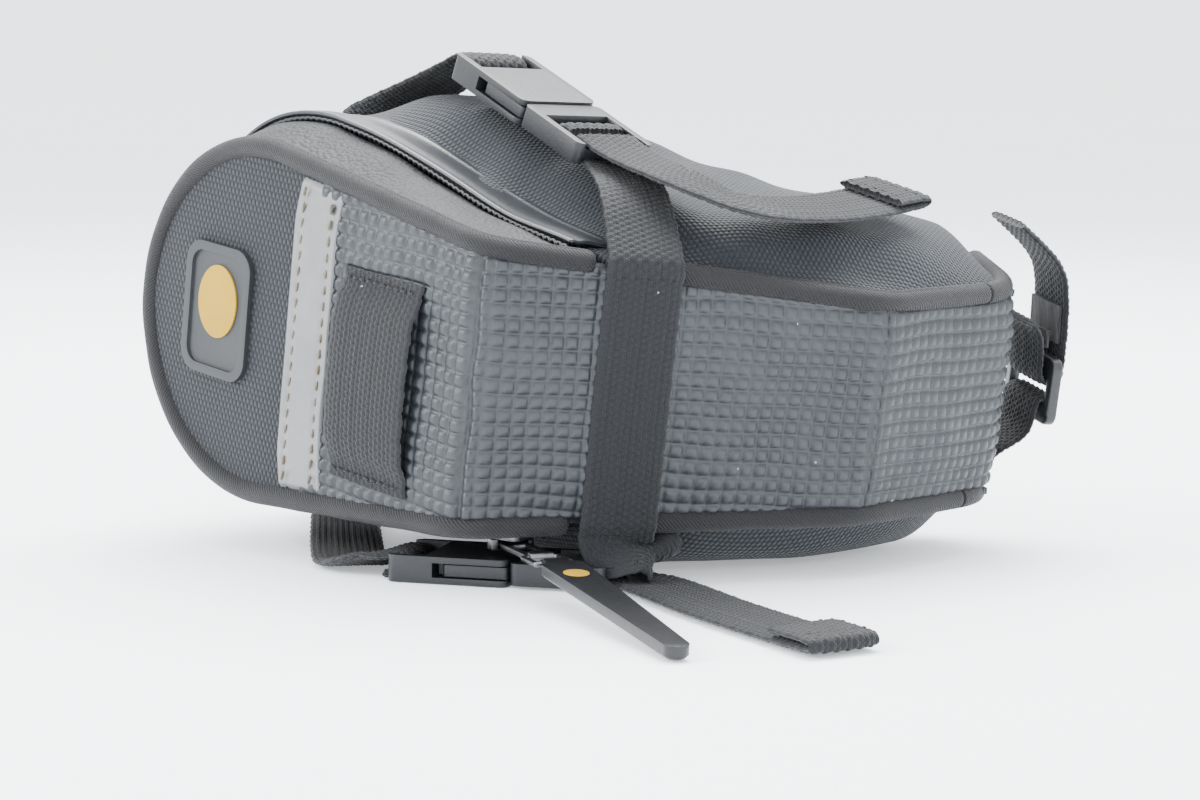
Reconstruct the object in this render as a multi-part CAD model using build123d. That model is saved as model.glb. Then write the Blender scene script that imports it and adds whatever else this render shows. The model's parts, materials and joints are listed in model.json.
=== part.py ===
"""Strap-mount saddle bag, lying on its side on a flat surface.

The bag is drawn in its own frame first: x and y are the outline seen from the side panel
(seam 1, the corner between the rear face and the belly, is at x = y = 0), and z runs across
the bag, 0 on its middle plane. Every piece is then turned onto its lower side panel and
set down with the middle of its footprint at the origin.
"""
import os
from math import asin, atan2, cos, degrees, hypot, pi, radians, sin, tan

from build123d import *

os.makedirs("parts", exist_ok=True)

# ---------------------------------------------------------------- driving dimensions (mm)
rear_length = 106.0          # seam 1 to the top of the rear arch
belly_length = 84.6          # seam 1 to seam 2
nose_length = 45.0           # seam 2 to the nose corner
nose_wall = 26.0             # nose corner to the saddle panel
rear_depth = 43.0            # rear face to the saddle panel, at the arch
rear_angle = 143.5           # direction of the rear face from seam 1, degrees from x
belly_angle = 20.8
nose_angle = 53.5
nose_wall_angle = 112.0
arch_radius = 38.2           # half the bag's greatest width
nose_half_width = 23.2
upper_bulge = 9.0            # how far each side panel stands out
lower_bulge = 12.5
bulge_lean = 42.0            # slope of a bulge's flank, degrees from upright
bulge_inset = 7.5            # edge of the panel to the foot of its bulge
foot_round = 13.0            # corner of the bulge's foot; the flank's lean takes most of it up
corner_round = 5.0
nose_round = 10.0
strip_wall = 2.4             # thickness of the rear, belly and nose panels
side_wall = 2.4
board_thickness = 1.2
board_gap = 0.3
piping_radius = 2.2
piping_inset = 0.8           # piping axis inside the corner of the panels
body_gap = 0.3               # clearance between the lid and the main body, each side
zip_setback = 16.0           # rear face to the zip, at the arch
hinge_distance = 23.5        # seam 1 to the belly fold that the lid swings on
tape_width = 9.0
tape_thickness = 0.8
teeth_width = 2.6
teeth_height = 1.4
zip_end_margin = 5.5         # zip teeth and flap stop this far inside the panel edge
flap_width = 9.5
flap_thickness = 1.0
logo_panel_length = 57.5     # top of the arch to the join under the reflective tape
reflector_start = 51.0
reflector_width = 13.0
reflector_thickness = 0.6
light_loop_width = 24.0
light_loop_length = 44.0
light_loop_height = 3.2
light_loop_start = 67.5      # top of the arch to the loop's near edge
light_loop_shift = -4.0      # loop's middle below the bag's middle plane
badge_width = 22.0
badge_length = 29.0
badge_thickness = 1.6
badge_place = 26.0
webbing = 16.0
webbing_thickness = 1.6
strap_clear = 0.3
# buckle
buckle_width = 20.5
buckle_height = 5.6
female_length = 26.0
male_length = 21.0
bar = 3.0                    # length and height of the bars that the webbing goes round
bar_height = 2.2
bar_gap = 0.05
plate = 1.3                  # top and bottom plates of the female half
prong_length = 14.0
prong_width = 3.0
prong_gap = 0.3
# zip pull
slider_size = (9.0, 6.6, 2.2)
slider_park = 17.0           # hinge end of the zip to the slider
pull_tab_length = 17.0
pull_tab_width = 6.0
pull_tab_thickness = 1.0
ring_wire = 1.2
puller_length = 62.0
puller_wide = 9.0
puller_narrow = 5.0
puller_thickness = 2.6
puller_dip = 5.4             # the puller slopes down to the surface, degrees
# seatpost strap
post_strap_width = 18.0
far = 400.0


def along(start, length, angle):
    """The point a given length from start, in a direction given in degrees from x."""
    return (start[0] + length * cos(radians(angle)), start[1] + length * sin(radians(angle)))


# ---------------------------------------------------------------- outline from the side
seam_1 = (0.0, 0.0)
arch_top = along(seam_1, rear_length, rear_angle)
seam_2 = along(seam_1, belly_length, belly_angle)
nose = along(seam_2, nose_length, nose_angle)
saddle_front = along(nose, nose_wall, nose_wall_angle)
saddle_rear = along(arch_top, rear_depth, rear_angle - 90)
fold = along(seam_1, hinge_distance, belly_angle)
zip_rear = along(arch_top, zip_setback, rear_angle - 90)
zip_angle = degrees(atan2(zip_rear[1] - fold[1], zip_rear[0] - fold[0]))
saddle_slope = degrees(atan2(saddle_front[1] - saddle_rear[1], saddle_front[0] - saddle_rear[0]))
rear_run = (-cos(radians(rear_angle)), -sin(radians(rear_angle)))     # along the rear face
inward = (cos(radians(rear_angle - 90)), sin(radians(rear_angle - 90)))


def run_of(point):
    """Distance of a plan point from the top of the arch, measured along the rear face."""
    return (point[0] - arch_top[0]) * rear_run[0] + (point[1] - arch_top[1]) * rear_run[1]


nose_reach = hypot(run_of(seam_2) - arch_radius, nose_half_width)
taper = asin(arch_radius / nose_reach) - atan2(nose_half_width, run_of(seam_2) - arch_radius)
taper_deg = degrees(taper)
tangent_run = arch_radius * (1 + sin(taper))


def half_width(point, inset=0.0):
    """Half the bag's width at a plan point, on the straight tapering part of a side."""
    on_surface = arch_radius * cos(taper) - (run_of(point) - tangent_run) * tan(taper)
    return on_surface - inset / cos(taper)


seam_half_width = half_width(seam_1)
tilt_axis = Axis((0, 0, 0), (inward[0], inward[1], 0))


def on_upper(shape):
    """Take a shape drawn on the flat plan up to the tapering upper side panel."""
    return Pos(0, 0, seam_half_width) * shape.rotate(tilt_axis, taper_deg)


def on_lower(shape):
    """The same for the lower side panel; its outside is towards -z."""
    return Pos(0, 0, -seam_half_width) * shape.rotate(tilt_axis, -taper_deg)


def horseshoe(outset):
    """Everything inside the arch-and-taper outline, moved out by outset, all along the depth."""
    radius = arch_radius + outset
    end_run = rear_length + far / 4
    touch = (arch_radius + radius * sin(taper), radius * cos(taper))
    end = (end_run, touch[1] - (end_run - touch[0]) * tan(taper))
    arc = ThreePointArc((touch[0], -touch[1]), (arch_radius - radius, 0), touch)
    rest = Polyline(touch, end, (end[0], -end[1]), (touch[0], -touch[1]))
    face = make_face(Curve() + [arc, rest])
    plane = Plane(origin=(*arch_top, 0), x_dir=(*rear_run, 0), z_dir=(-inward[0], -inward[1], 0))
    return extrude(plane * face, amount=far / 2, both=True)


def plan_face(inset=0.0, rounding=0.0):
    """The bag's outline from the side, moved in; the arch end runs on past the arch."""
    overrun = 20.0
    outline = [seam_1, seam_2, nose, saddle_front,
               along(saddle_rear, overrun, saddle_slope + 180), along(arch_top, overrun, rear_angle)]
    face = make_face(Polyline(*outline, close=True))
    if inset:
        face = offset(face, amount=-inset, kind=Kind.INTERSECTION)
    rounds = {seam_1: corner_round, seam_2: corner_round, nose: nose_round,
              saddle_front: corner_round}
    for corner, radius in rounds.items():
        vertex = face.vertices().sort_by_distance((*corner, 0))[0]
        face = fillet(vertex, rounding or max(radius - inset, 0.5))
    return face


def prism(face, low=-far / 4, high=far / 4):
    """A flat face made solid between two heights."""
    return extrude(Pos(0, 0, low) * face, amount=high - low)


def zip_slab(near, distant):
    """The space between two planes parallel to the zip; positive is the lid's side."""
    middle = along(fold, (near + distant) / 2, zip_angle + 90)
    return Pos(*middle, 0) * Rot(0, 0, zip_angle) * Box(far, distant - near, far / 2)


def run_slab(near, distant):
    """The space between two planes square to the rear face."""
    middle = along(arch_top, (near + distant) / 2, rear_angle + 180)
    return Pos(*middle, 0) * Rot(0, 0, rear_angle) * Box(distant - near, far, far / 2)


def sector(corner_a, corner_b):
    """The space in front of one straight panel, cut on the bisectors of its two corners."""
    centre = (20.0, 60.0)
    reach = 2.0
    out_a = (centre[0] + (corner_a[0] - centre[0]) * reach, centre[1] + (corner_a[1] - centre[1]) * reach)
    out_b = (centre[0] + (corner_b[0] - centre[0]) * reach, centre[1] + (corner_b[1] - centre[1]) * reach)
    return prism(make_face(Polyline(centre, out_a, out_b, close=True)))


def ribbon(points, across, width, thickness):
    """A flat strap through the points; across is its width direction, one for all runs or one each."""
    runs = list(zip(points, points[1:]))
    sideways = across if isinstance(across, list) else [across] * len(runs)
    solid = None
    for (first, second), side in zip(runs, sideways):
        start, end = Vector(*first), Vector(*second)
        run = end - start
        normal = run.cross(Vector(*side)).normalized()
        plane = Plane(origin=(start + end) / 2, x_dir=run, z_dir=normal)
        piece = plane * Box(run.length + thickness / 2, width, thickness)
        solid = piece if solid is None else solid + piece
    return solid


def tube(path, radius):
    """A round bar along a path."""
    section = Plane(origin=path @ 0, z_dir=path % 0) * Circle(radius)
    return sweep(section, path=path)


def largest(shape):
    """The biggest solid of a cut, without the crumbs."""
    return shape.solids().sort_by(SortBy.VOLUME)[-1]


parts = {}

# ---------------------------------------------------------------- shell of the bag
outer = horseshoe(0)
strip_space = horseshoe(-side_wall)
plan = prism(plan_face())
inner_plan = prism(plan_face(strip_wall))
side_ring = (outer - strip_space) & plan
strip_ring = (strip_space & plan) - inner_plan
lid_side = zip_slab(body_gap, far / 2)
bag_side = zip_slab(-far / 2, -body_gap)
edge_plan = prism(plan_face(zip_end_margin))


def edge_point(corner, side, inset=piping_inset):
    """A corner of the outline, taken to the edge between strip and side panel."""
    return (corner[0], corner[1], side * half_width(corner, inset))


def inset_corner(corner, inset):
    """The corner of the outline once every panel has moved in."""
    face = offset(make_face(Polyline(seam_1, seam_2, nose, saddle_front, saddle_rear, arch_top, close=True)),
                  amount=-inset, kind=Kind.INTERSECTION)
    vertex = face.vertices().sort_by_distance((*corner, 0))[0]
    return (vertex.X, vertex.Y)


piping_seam_1 = inset_corner(seam_1, piping_inset)
piping_seam_2 = inset_corner(seam_2, piping_inset)
piping_nose = inset_corner(nose, piping_inset)
piping_front = inset_corner(saddle_front, piping_inset)
piping_fold = along(fold, piping_inset, belly_angle + 90)
lid_stop = along(piping_fold, -body_gap, belly_angle)
fold_clear = 1.6             # front pipings stand back so the lid's piping can turn past
bag_start = along(piping_fold, fold_clear, belly_angle)
arch_shift = (arch_top[0] + inward[0] * piping_inset, arch_top[1] + inward[1] * piping_inset)
arch_in = arch_radius - piping_inset


def arch_point(angle):
    """A point of the arch's piping; the angle is 0 at the top of the arch."""
    run = arch_radius - arch_in * cos(angle)
    return (arch_shift[0] + rear_run[0] * run, arch_shift[1] + rear_run[1] * run, arch_in * sin(angle))


touch_angle = pi / 2 + taper
arms = [FilletPolyline(arch_point(side * touch_angle), edge_point(piping_seam_1, side),
                       edge_point(lid_stop, side), radius=corner_round) for side in (1, -1)]
arch = ThreePointArc(arch_point(-touch_angle), arch_point(0), arch_point(touch_angle))
lid_path = Wire(arms[0].edges() + arch.edges() + arms[1].edges())
piping_lid = largest(tube(lid_path, piping_radius) & lid_side)
front_piping = {}
for label, side in (("upper", 1), ("lower", -1)):
    corners = [edge_point(p, side) for p in (bag_start, piping_seam_2, piping_nose, piping_front)]
    path = FilletPolyline(*corners, radius=[corner_round, nose_round])
    front_piping[label] = largest(tube(path, piping_radius) & bag_side)

lid_strip = (strip_ring & lid_side) - piping_lid
rear_strip = lid_strip & sector(arch_top, seam_1)
parts["logo_panel"] = largest(rear_strip & run_slab(-far / 8, logo_panel_length))
parts["rear_grip_panel"] = largest(rear_strip & run_slab(logo_panel_length, far / 2))
parts["corner_grip_panel"] = largest(lid_strip & sector(seam_1, seam_2))
parts["gusset_band"] = largest((side_ring & lid_side) - piping_lid)
parts["piping_lid"] = piping_lid

bag_strip = (strip_ring & bag_side) - front_piping["upper"] - front_piping["lower"]
parts["belly_panel"] = largest(bag_strip & sector(seam_1, seam_2))
parts["nose_panel"] = largest(bag_strip & (sector(seam_2, nose) + sector(nose, saddle_front)))
parts["saddle_panel"] = largest(bag_strip & sector(saddle_front, along(saddle_rear, 40, saddle_slope + 180)))
for label in front_piping:
    parts[f"piping_{label}"] = front_piping[label]

# ---------------------------------------------------------------- side panels
bulge_run = 36.0             # the bulge starts this far from the top of the arch
foot = plan_face(bulge_inset, foot_round)
foot_solid = prism(foot) & zip_slab(-far / 2, -teeth_width - flap_width - 3.0) & run_slab(bulge_run, far / 2)
foot_face = foot_solid.faces().sort_by(Axis.Z)[-1]
foot_face = Pos(0, 0, -foot_face.center().Z) * foot_face


def bulge(height, inset):
    """A flat-topped swelling over the foot of the bulge, with leaning flanks."""
    base = offset(foot_face, amount=-inset, kind=Kind.INTERSECTION) if inset else foot_face
    root = prism(base, -side_wall - inset, 0)
    return root + extrude(base, amount=height, taper=bulge_lean)


half_ring = (side_ring & bag_side) - front_piping["upper"] - front_piping["lower"]
sides = {}
for label, side, height, place in (("upper", 1, upper_bulge, on_upper), ("lower", -1, lower_bulge, on_lower)):
    solid_bulge = bulge(height, 0)
    hollow_bulge = bulge(height - side_wall, side_wall)
    if side < 0:
        solid_bulge = solid_bulge.mirror(Plane.XY)
        hollow_bulge = hollow_bulge.mirror(Plane.XY)
    half = half_ring & (Pos(0, 0, side * far / 8) * Box(far, far, far / 4))
    sides[label] = largest((half + place(solid_bulge)) - place(hollow_bulge))

# ---------------------------------------------------------------- zip
tape_space = (horseshoe(-side_wall - board_gap) - horseshoe(-side_wall - board_gap - tape_thickness)) \
    & prism(plan_face(strip_wall + board_gap))
teeth_space = (horseshoe(teeth_height) - outer) & edge_plan
parts["zip_tape_lid"] = largest(tape_space & zip_slab(body_gap, tape_width))
parts["zip_tape_main"] = largest(tape_space & zip_slab(-tape_width, -body_gap))
parts["zip_teeth_lid"] = largest(teeth_space & zip_slab(body_gap, teeth_width))
parts["zip_teeth_main"] = largest(teeth_space & zip_slab(-teeth_width, -body_gap))
flap_space = (horseshoe(flap_thickness) - outer) & edge_plan
flap_near = teeth_width + body_gap
zip_flap = largest(flap_space & zip_slab(-flap_near - flap_width, -flap_near))

# ---------------------------------------------------------------- stiffening boards
board_space = prism(plan_face(strip_wall + board_gap)) - prism(plan_face(strip_wall + board_gap + board_thickness))
board_space = board_space & horseshoe(-side_wall - 4 * tape_thickness)
parts["rear_board"] = largest(board_space & sector(arch_top, seam_1) & run_slab(10, rear_length - 8) & lid_side)
board_stop = along(fold, 4, belly_angle)
board_end = along(seam_2, -5, belly_angle)
parts["belly_board"] = largest(board_space & sector(board_stop, board_end) & bag_side)

# ---------------------------------------------------------------- on the rear face
rear_plane = Plane(origin=(*arch_top, 0), x_dir=(*rear_run, 0), z_dir=(-inward[0], -inward[1], 0))


def on_rear(shape):
    """Place a shape drawn with x down the rear face from the arch, y across and z outwards."""
    return rear_plane * shape


reflector = Pos(reflector_start + reflector_width / 2, 0, reflector_thickness / 2) \
    * Box(reflector_width, far / 4, reflector_thickness)
parts["reflective_tape"] = on_rear(reflector) & horseshoe(-piping_radius - 1.6)
loop_middle = light_loop_start + light_loop_width / 2
loop = Box(light_loop_width, light_loop_length, light_loop_height + webbing_thickness, align=(Align.CENTER, Align.CENTER, Align.MIN))
foot_length = 6.0
loop_tunnel = Box(far / 8, light_loop_length - 2 * foot_length, 2 * light_loop_height)
above_foot = light_loop_height + webbing_thickness
for end in (1, -1):
    ramp = make_face(Polyline((light_loop_length / 2, webbing_thickness), (light_loop_length / 2, above_foot),
                              (light_loop_length / 2 - foot_length, above_foot), close=True))
    wedge = extrude(Plane(origin=(0, 0, 0), x_dir=(0, end, 0), z_dir=(end, 0, 0)) * ramp, amount=far / 8, both=True)
    loop = loop - wedge
parts["light_loop"] = on_rear(Pos(loop_middle, light_loop_shift, 0) * (loop - loop_tunnel))
badge = extrude(RectangleRounded(badge_width, badge_length, 5), amount=badge_thickness)
recess_depth = 0.8
recess = Pos(0, 0, badge_thickness - recess_depth) \
    * extrude(RectangleRounded(badge_width - 4, badge_length - 4, 3.5), amount=recess_depth)
inlay = Pos(0, 2, badge_thickness - recess_depth) * extrude(Ellipse(6.5, 8), amount=recess_depth / 2)
parts["badge_base"] = on_rear(Pos(badge_place, 0, 0) * (badge - recess))
parts["badge_inlay"] = on_rear(Pos(badge_place, 0, 0) * inlay)

# ---------------------------------------------------------------- belly strap and rail straps
strap_middle = hinge_distance + 1.0 + webbing / 2
strap_root = along(seam_1, strap_middle, belly_angle)
belly_across = (cos(radians(belly_angle)), sin(radians(belly_angle)), 0)
outward = (sin(radians(belly_angle)), -cos(radians(belly_angle)))


def off_belly(distance, height):
    """A point on the strap's line, a distance outside the belly, at a height across the bag."""
    return (strap_root[0] + outward[0] * distance, strap_root[1] + outward[1] * distance, height)


strap_top = half_width(strap_root) - piping_radius - piping_inset - 2.0
lift = webbing_thickness / 2
parts["belly_strap"] = ribbon([off_belly(lift, -strap_top), off_belly(lift, strap_top)],
                              belly_across, webbing, webbing_thickness)

# upper rail strap, on the upper side panel: x, y on the panel and height above it
buckle_raise = 2.0           # room under the male half for it to slide out along its tilt
upper_buckle_height = upper_bulge + strap_clear + buckle_raise + buckle_height / 2
upper_end = (17.6, 41.0)     # where the male half's bar lies
upper_buckle_angle = 138.0
upper_buckle_tilt = 8.0      # the female half stands higher than the male half
release_travel = 16.0        # the prongs are clear of the female half by then
lower_end = (31.0, 15.0)
lower_buckle_angle = 172.0
surface = -lower_bulge       # what the bag lies on, in the lower panel's frame


def make_buckle():
    """Side-release buckle; x runs from the male half's bar (0) to the female half's bar."""
    inside = buckle_height - 2 * plate
    shut = male_length
    female = Pos(shut + female_length / 2, 0, 0) * Box(female_length, buckle_width, buckle_height)
    female = fillet(female.edges().filter_by(Axis.Z), 2.0)
    mouth_depth = prong_length + 2.0
    mouth = Pos(shut + mouth_depth / 2 - 0.5, 0, 0) * Box(mouth_depth + 1, buckle_width + 2, inside)
    slot_length = female_length - mouth_depth - 2 - bar
    slot = Pos(shut + mouth_depth + 2 + slot_length / 2, 0, 0) * Box(slot_length, webbing + 1, 2 * buckle_height)
    ridge = Pos(shut + mouth_depth - 1, 0, 0) * Box(2, buckle_width - 2 * prong_width - 3, inside)
    rear_bar = Pos(shut + female_length - bar / 2, 0, 0)
    trim = rear_bar * (Box(bar + 2, webbing + 1, 2 * buckle_height) - Box(bar, webbing + 1, bar_height))
    female = female - mouth - slot + ridge - trim
    male = Pos(male_length / 2, 0, 0) * Box(male_length - 2 * prong_gap, buckle_width, buckle_height - 1)
    male = fillet(male.edges().filter_by(Axis.Z), 2.0)
    opening = (male_length - 4 * bar) / 2
    for place in (bar, 2 * bar + opening):
        male = male - Pos(place + opening / 2, 0, 0) * Box(opening, webbing + 1, 2 * buckle_height)
    for place in (bar / 2, 1.5 * bar + opening):
        trim = Box(bar + 2, webbing + 1, 2 * buckle_height) - Box(bar, webbing + 1, bar_height)
        male = male - Pos(place, 0, 0) * trim
    tongue_height = inside - 2 * prong_gap
    tongue_length = prong_length - 4.0
    tongue = Pos(male_length + tongue_length / 2 - 1, 0, 0) * Box(tongue_length, 5, tongue_height)
    male = male + tongue
    prongs = []
    for side in (1, -1):
        middle = side * (buckle_width / 2 - prong_width / 2 - 0.6)
        prong = Pos(male_length + prong_length / 2, middle, 0) * Box(prong_length, prong_width, tongue_height)
        prongs.append(fillet(prong.edges().filter_by(Axis.Z), 1.0))
    return female, male, prongs


female, male, prongs = make_buckle()


def place_buckle(shape, buckle, place):
    """Set a buckle piece on a side panel, its male bar at the buckle's end point."""
    end, angle, height, tilt = buckle
    return place(Pos(end[0], end[1], height) * Rot(0, 0, angle) * Rot(0, -tilt, 0) * shape)


lower_buckle_height = surface + buckle_height / 2
upper_buckle = (upper_end, upper_buckle_angle, upper_buckle_height, upper_buckle_tilt)
lower_buckle = (lower_end, lower_buckle_angle, lower_buckle_height, 0.0)
for label, buckle, place in (("upper", upper_buckle, on_upper), ("lower", lower_buckle, on_lower)):
    parts[f"buckle_female_{label}"] = place_buckle(female, buckle, place)
    parts[f"buckle_male_{label}"] = place_buckle(male, buckle, place)
    for name, prong in zip(("a", "b"), prongs):
        parts[f"buckle_prong_{label}_{name}"] = place_buckle(prong, buckle, place)


def to_side(point, side):
    """A bag-frame point written in the frame of a side panel."""
    level = Vector(point[0], point[1], point[2] - side * seam_half_width)
    return tuple(level.rotate(tilt_axis, -side * taper_deg))


def from_side(point, side):
    """A point in a side panel's frame, written in the bag's frame."""
    turned = Vector(*point).rotate(tilt_axis, side * taper_deg)
    return tuple(turned + Vector(0, 0, side * seam_half_width))


def turned_way(way, side):
    """A direction in a side panel's frame, written in the bag's frame; -side turns it back."""
    return tuple(Vector(*way).rotate(tilt_axis, side * taper_deg))


round_piping = piping_radius - piping_inset + strap_clear + webbing_thickness / 2


def square_to(first, second):
    """The flat direction square to a run, as seen on the plan."""
    length = hypot(second[0] - first[0], second[1] - first[1])
    return ((first[1] - second[1]) / length, (second[0] - first[0]) / length, 0)


wrap = bar_height / 2 + bar_gap + webbing_thickness / 2       # webbing's middle, off a bar's middle
slot_length = (male_length - 4 * bar) / 2
behind_bar = 2 * bar + slot_length + bar_gap + webbing_thickness / 2
edge_height = half_width(strap_root)


def in_buckle(buckle, distance, off):
    """A point a distance along a buckle from the male half's bar, off its middle plane."""
    end, angle, height, tilt = buckle
    reach = distance * cos(radians(tilt)) - off * sin(radians(tilt))
    return (*along(end, reach, angle), height + distance * sin(radians(tilt)) + off * cos(radians(tilt)))


def round_male_bar(buckle, over):
    """Webbing route under the end bar, up behind the middle bar and back over it."""
    return [in_buckle(buckle, -3.0, -over * wrap),
            in_buckle(buckle, behind_bar, -over * wrap),
            in_buckle(buckle, behind_bar, over * wrap),
            in_buckle(buckle, bar + slot_length, over * wrap)]


upper_wrap = round_male_bar(upper_buckle, 1)
shoulder = 0.44              # where the riser comes over the bulge's flank, from piping to buckle
over_flank = [strap_root[k] + shoulder * (upper_end[k] - strap_root[k]) for k in (0, 1)]
upper_route = [to_side(off_belly(round_piping, strap_top + 1.0), 1),
               to_side(off_belly(round_piping + 0.2, edge_height + 1.2), 1),
               to_side(off_belly(0.2, edge_height + round_piping + 0.7), 1),
               (*over_flank, upper_buckle_height - wrap - 1.0)]
upper_way = square_to(upper_end, along(upper_end, 1.0, upper_buckle_angle))
upper_ways = [turned_way(belly_across, -1)] * 4 + [upper_way] * 3
riser_width = webbing - 0.4
parts["rail_riser_upper"] = on_upper(ribbon(upper_route + upper_wrap, upper_ways, riser_width, webbing_thickness))
lower_wrap = round_male_bar(lower_buckle, -1)
lower_route = [to_side(off_belly(round_piping, -strap_top - 1.0), -1),
               to_side(off_belly(round_piping, -edge_height - 2.6), -1),
               (lower_end[0] + 9.0, lower_end[1] - 1.0, lower_buckle_height + wrap + 2.5)]
lower_way = square_to(lower_end, along(lower_end, 1.0, lower_buckle_angle))
lower_ways = [turned_way(belly_across, 1)] + [lower_way] * 5
parts["rail_riser_lower"] = on_lower(ribbon(lower_route + lower_wrap, lower_ways, riser_width, webbing_thickness))

hem_length = 12.0


def tail(points):
    """Loose end of a rail strap: webbing with its last stretch folded over and sewn."""
    runs = list(zip(points, points[1:]))
    strap = ribbon(points, [square_to(a, b) for a, b in runs], webbing, webbing_thickness)
    before, last = Vector(*points[-2]), Vector(*points[-1])
    back = last + (before - last).normalized() * hem_length
    up = Vector(0, 0, webbing_thickness)
    hem = ribbon([tuple(back + up), tuple(last + up)], square_to(points[-2], points[-1]), webbing, webbing_thickness)
    return strap + hem


release_fall = release_travel * sin(radians(upper_buckle_tilt))
tail_height = upper_bulge + strap_clear + lift + release_fall
tail_start = bar + slot_length / 2 - 0.4
upper_tail = [in_buckle(upper_buckle, tail_start, wrap),
              in_buckle(upper_buckle, -4.0, wrap),
              (upper_end[0] + 16.0, upper_end[1] - 14.0, tail_height + 3.2),
              (upper_end[0] + 30.0, upper_end[1] - 16.0, tail_height - 0.4),
              (upper_end[0] + 46.0, upper_end[1] + 2.0, tail_height),
              (upper_end[0] + 59.0, upper_end[1] + 26.0, tail_height + 1.0)]
on_surface = surface + lift + 0.05
lower_tail = [in_buckle(lower_buckle, tail_start, on_surface - lower_buckle_height),
              in_buckle(lower_buckle, -5.0, on_surface - lower_buckle_height),
              (lower_end[0] + 14.0, lower_end[1] - 14.0, on_surface),
              (lower_end[0] + 24.0, lower_end[1] - 30.0, on_surface),
              (lower_end[0] + 48.0, lower_end[1] - 60.0, on_surface)]
parts["rail_tail_upper"] = on_upper(tail(upper_tail))
parts["rail_tail_lower"] = on_lower(tail(lower_tail))

# anchor webbings: from the female half's bar, round the edge of the saddle panel
saddle_across = (cos(radians(saddle_slope)), sin(radians(saddle_slope)), 0)
female_bar = male_length + female_length - bar - bar_gap - webbing_thickness / 2
anchor_place = 14.0          # rear end of the saddle panel to the anchors' middle
anchor_root = along(along(saddle_rear, anchor_place, saddle_slope), lift + 0.05, saddle_slope + 90)
bar_out = bar + 2.5          # webbing's way from a slot to clear of the bar
arch_drop = 4.0              # the anchor's bend, below the side panel's plane


def round_female_bar(buckle):
    """Webbing route under the female half's bar, up through its slot and back over the bar."""
    return [in_buckle(buckle, female_bar + bar_out, -wrap),
            in_buckle(buckle, female_bar, -wrap),
            in_buckle(buckle, female_bar, wrap),
            in_buckle(buckle, female_bar + bar_out, wrap)]


exit_rise = 4.5              # the anchor already falls towards the saddle panel there
upper_exit = along(upper_end, female_bar + bar_out + 5.0, upper_buckle_angle)
upper_over = from_side((anchor_root[0], anchor_root[1] + 2.0, -arch_drop), 1)
anchor_up = [from_side(point, 1) for point in
             round_female_bar(upper_buckle) + [(*upper_exit, upper_buckle_height + exit_rise)]]
anchor_up = anchor_up + [upper_over, (*anchor_root, upper_over[2] - 5.0), (*anchor_root, upper_over[2] - 26.0)]
anchor_ways_up = [turned_way(upper_way, 1)] * 5 + [saddle_across] * 2
parts["rail_anchor_upper"] = ribbon(anchor_up, anchor_ways_up, webbing, webbing_thickness)
lower_exit = along(lower_end, female_bar + bar_out + 9.0, lower_buckle_angle)
lower_turn = (lower_exit[0] - 4.0, lower_exit[1] + 10.0)
under_edge = from_side((anchor_root[0], anchor_root[1] + 0.4, on_surface), -1)
anchor_down = [from_side(point, -1) for point in
               round_female_bar(lower_buckle)
               + [(*lower_exit, on_surface), (*lower_turn, on_surface)]]
anchor_down = anchor_down + [under_edge, (*anchor_root, under_edge[2] + 26.0), (*anchor_root, under_edge[2] + 40.0)]
way_under = turned_way(square_to(lower_turn, anchor_root), -1)
anchor_ways_down = [turned_way(lower_way, -1)] * 4 + [way_under] * 2 + [saddle_across] * 2
parts["rail_anchor_lower"] = ribbon(anchor_down, anchor_ways_down, webbing, webbing_thickness)
groove = ribbon(anchor_down[4:7], way_under, webbing + 4 * strap_clear, 2 * webbing_thickness + 4 * strap_clear)
buckle_room = on_lower(Pos(*lower_end, surface) * Rot(0, 0, lower_buckle_angle)
                       * Pos(female_length / 2, 0, 0)
                       * Box(female_length + 2 * male_length + 24, buckle_width + 5, 2 * buckle_height + 5))
sides["lower"] = largest(sides["lower"] - groove - buckle_room)

# ---------------------------------------------------------------- zip slider and its pull
slider_clear = 0.3
slider_middle = along(fold, slider_park, zip_angle)
slider_low = teeth_height + slider_clear
slider_long, slider_wide, slider_high = slider_size
slider = Pos(0, 0, -slider_low - slider_high / 2) * Box(slider_long, slider_wide, slider_high)
slider = fillet(slider.edges().filter_by(Axis.Z), 1.8)
pull_angle = -60.0
pin_gap = 0.05
ear_thickness = 1.4
pin_radius = 0.55
barrel_radius = 1.05
tab_middle = slider_low + slider_high + 0.15 + barrel_radius
ear_height = 2.1
ear_centre = slider_low + slider_high + ear_height / 2
slider = Rot(0, 0, zip_angle - pull_angle) * slider
for side in (1, -1):
    ear_y = side * (pull_tab_width / 2 + strap_clear + ear_thickness / 2)
    slider = slider + Pos(0, ear_y, -ear_centre) * Box(2.6, ear_thickness, ear_height)
slider = slider + Pos(0, 0, -tab_middle) * Rot(90, 0, 0) * Cylinder(pin_radius, pull_tab_width + 2 * ear_thickness)
tab = Pos(pull_tab_length / 2, 0, -tab_middle) * Box(pull_tab_length, pull_tab_width, pull_tab_thickness)
window = Pos(pull_tab_length / 2, 0, -tab_middle) * Box(pull_tab_length - 9, pull_tab_width - 3, 2)
tab = tab - window
link_width = 5.0
for place, hole in ((0.0, pin_radius), (pull_tab_length, ring_wire / 2)):
    reach = pull_tab_width if place == 0 else link_width
    tab = tab + Pos(place, 0, -tab_middle) * Rot(90, 0, 0) * Cylinder(barrel_radius, reach)
for place, hole in ((0.0, pin_radius), (pull_tab_length, ring_wire / 2)):
    tab = tab - Pos(place, 0, -tab_middle) * Rot(90, 0, 0) * Cylinder(hole + pin_gap, far / 8)
link_length = 7.0
half_link = link_width / 2 + 1.2
wire = ring_wire / 2
link = None
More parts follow.
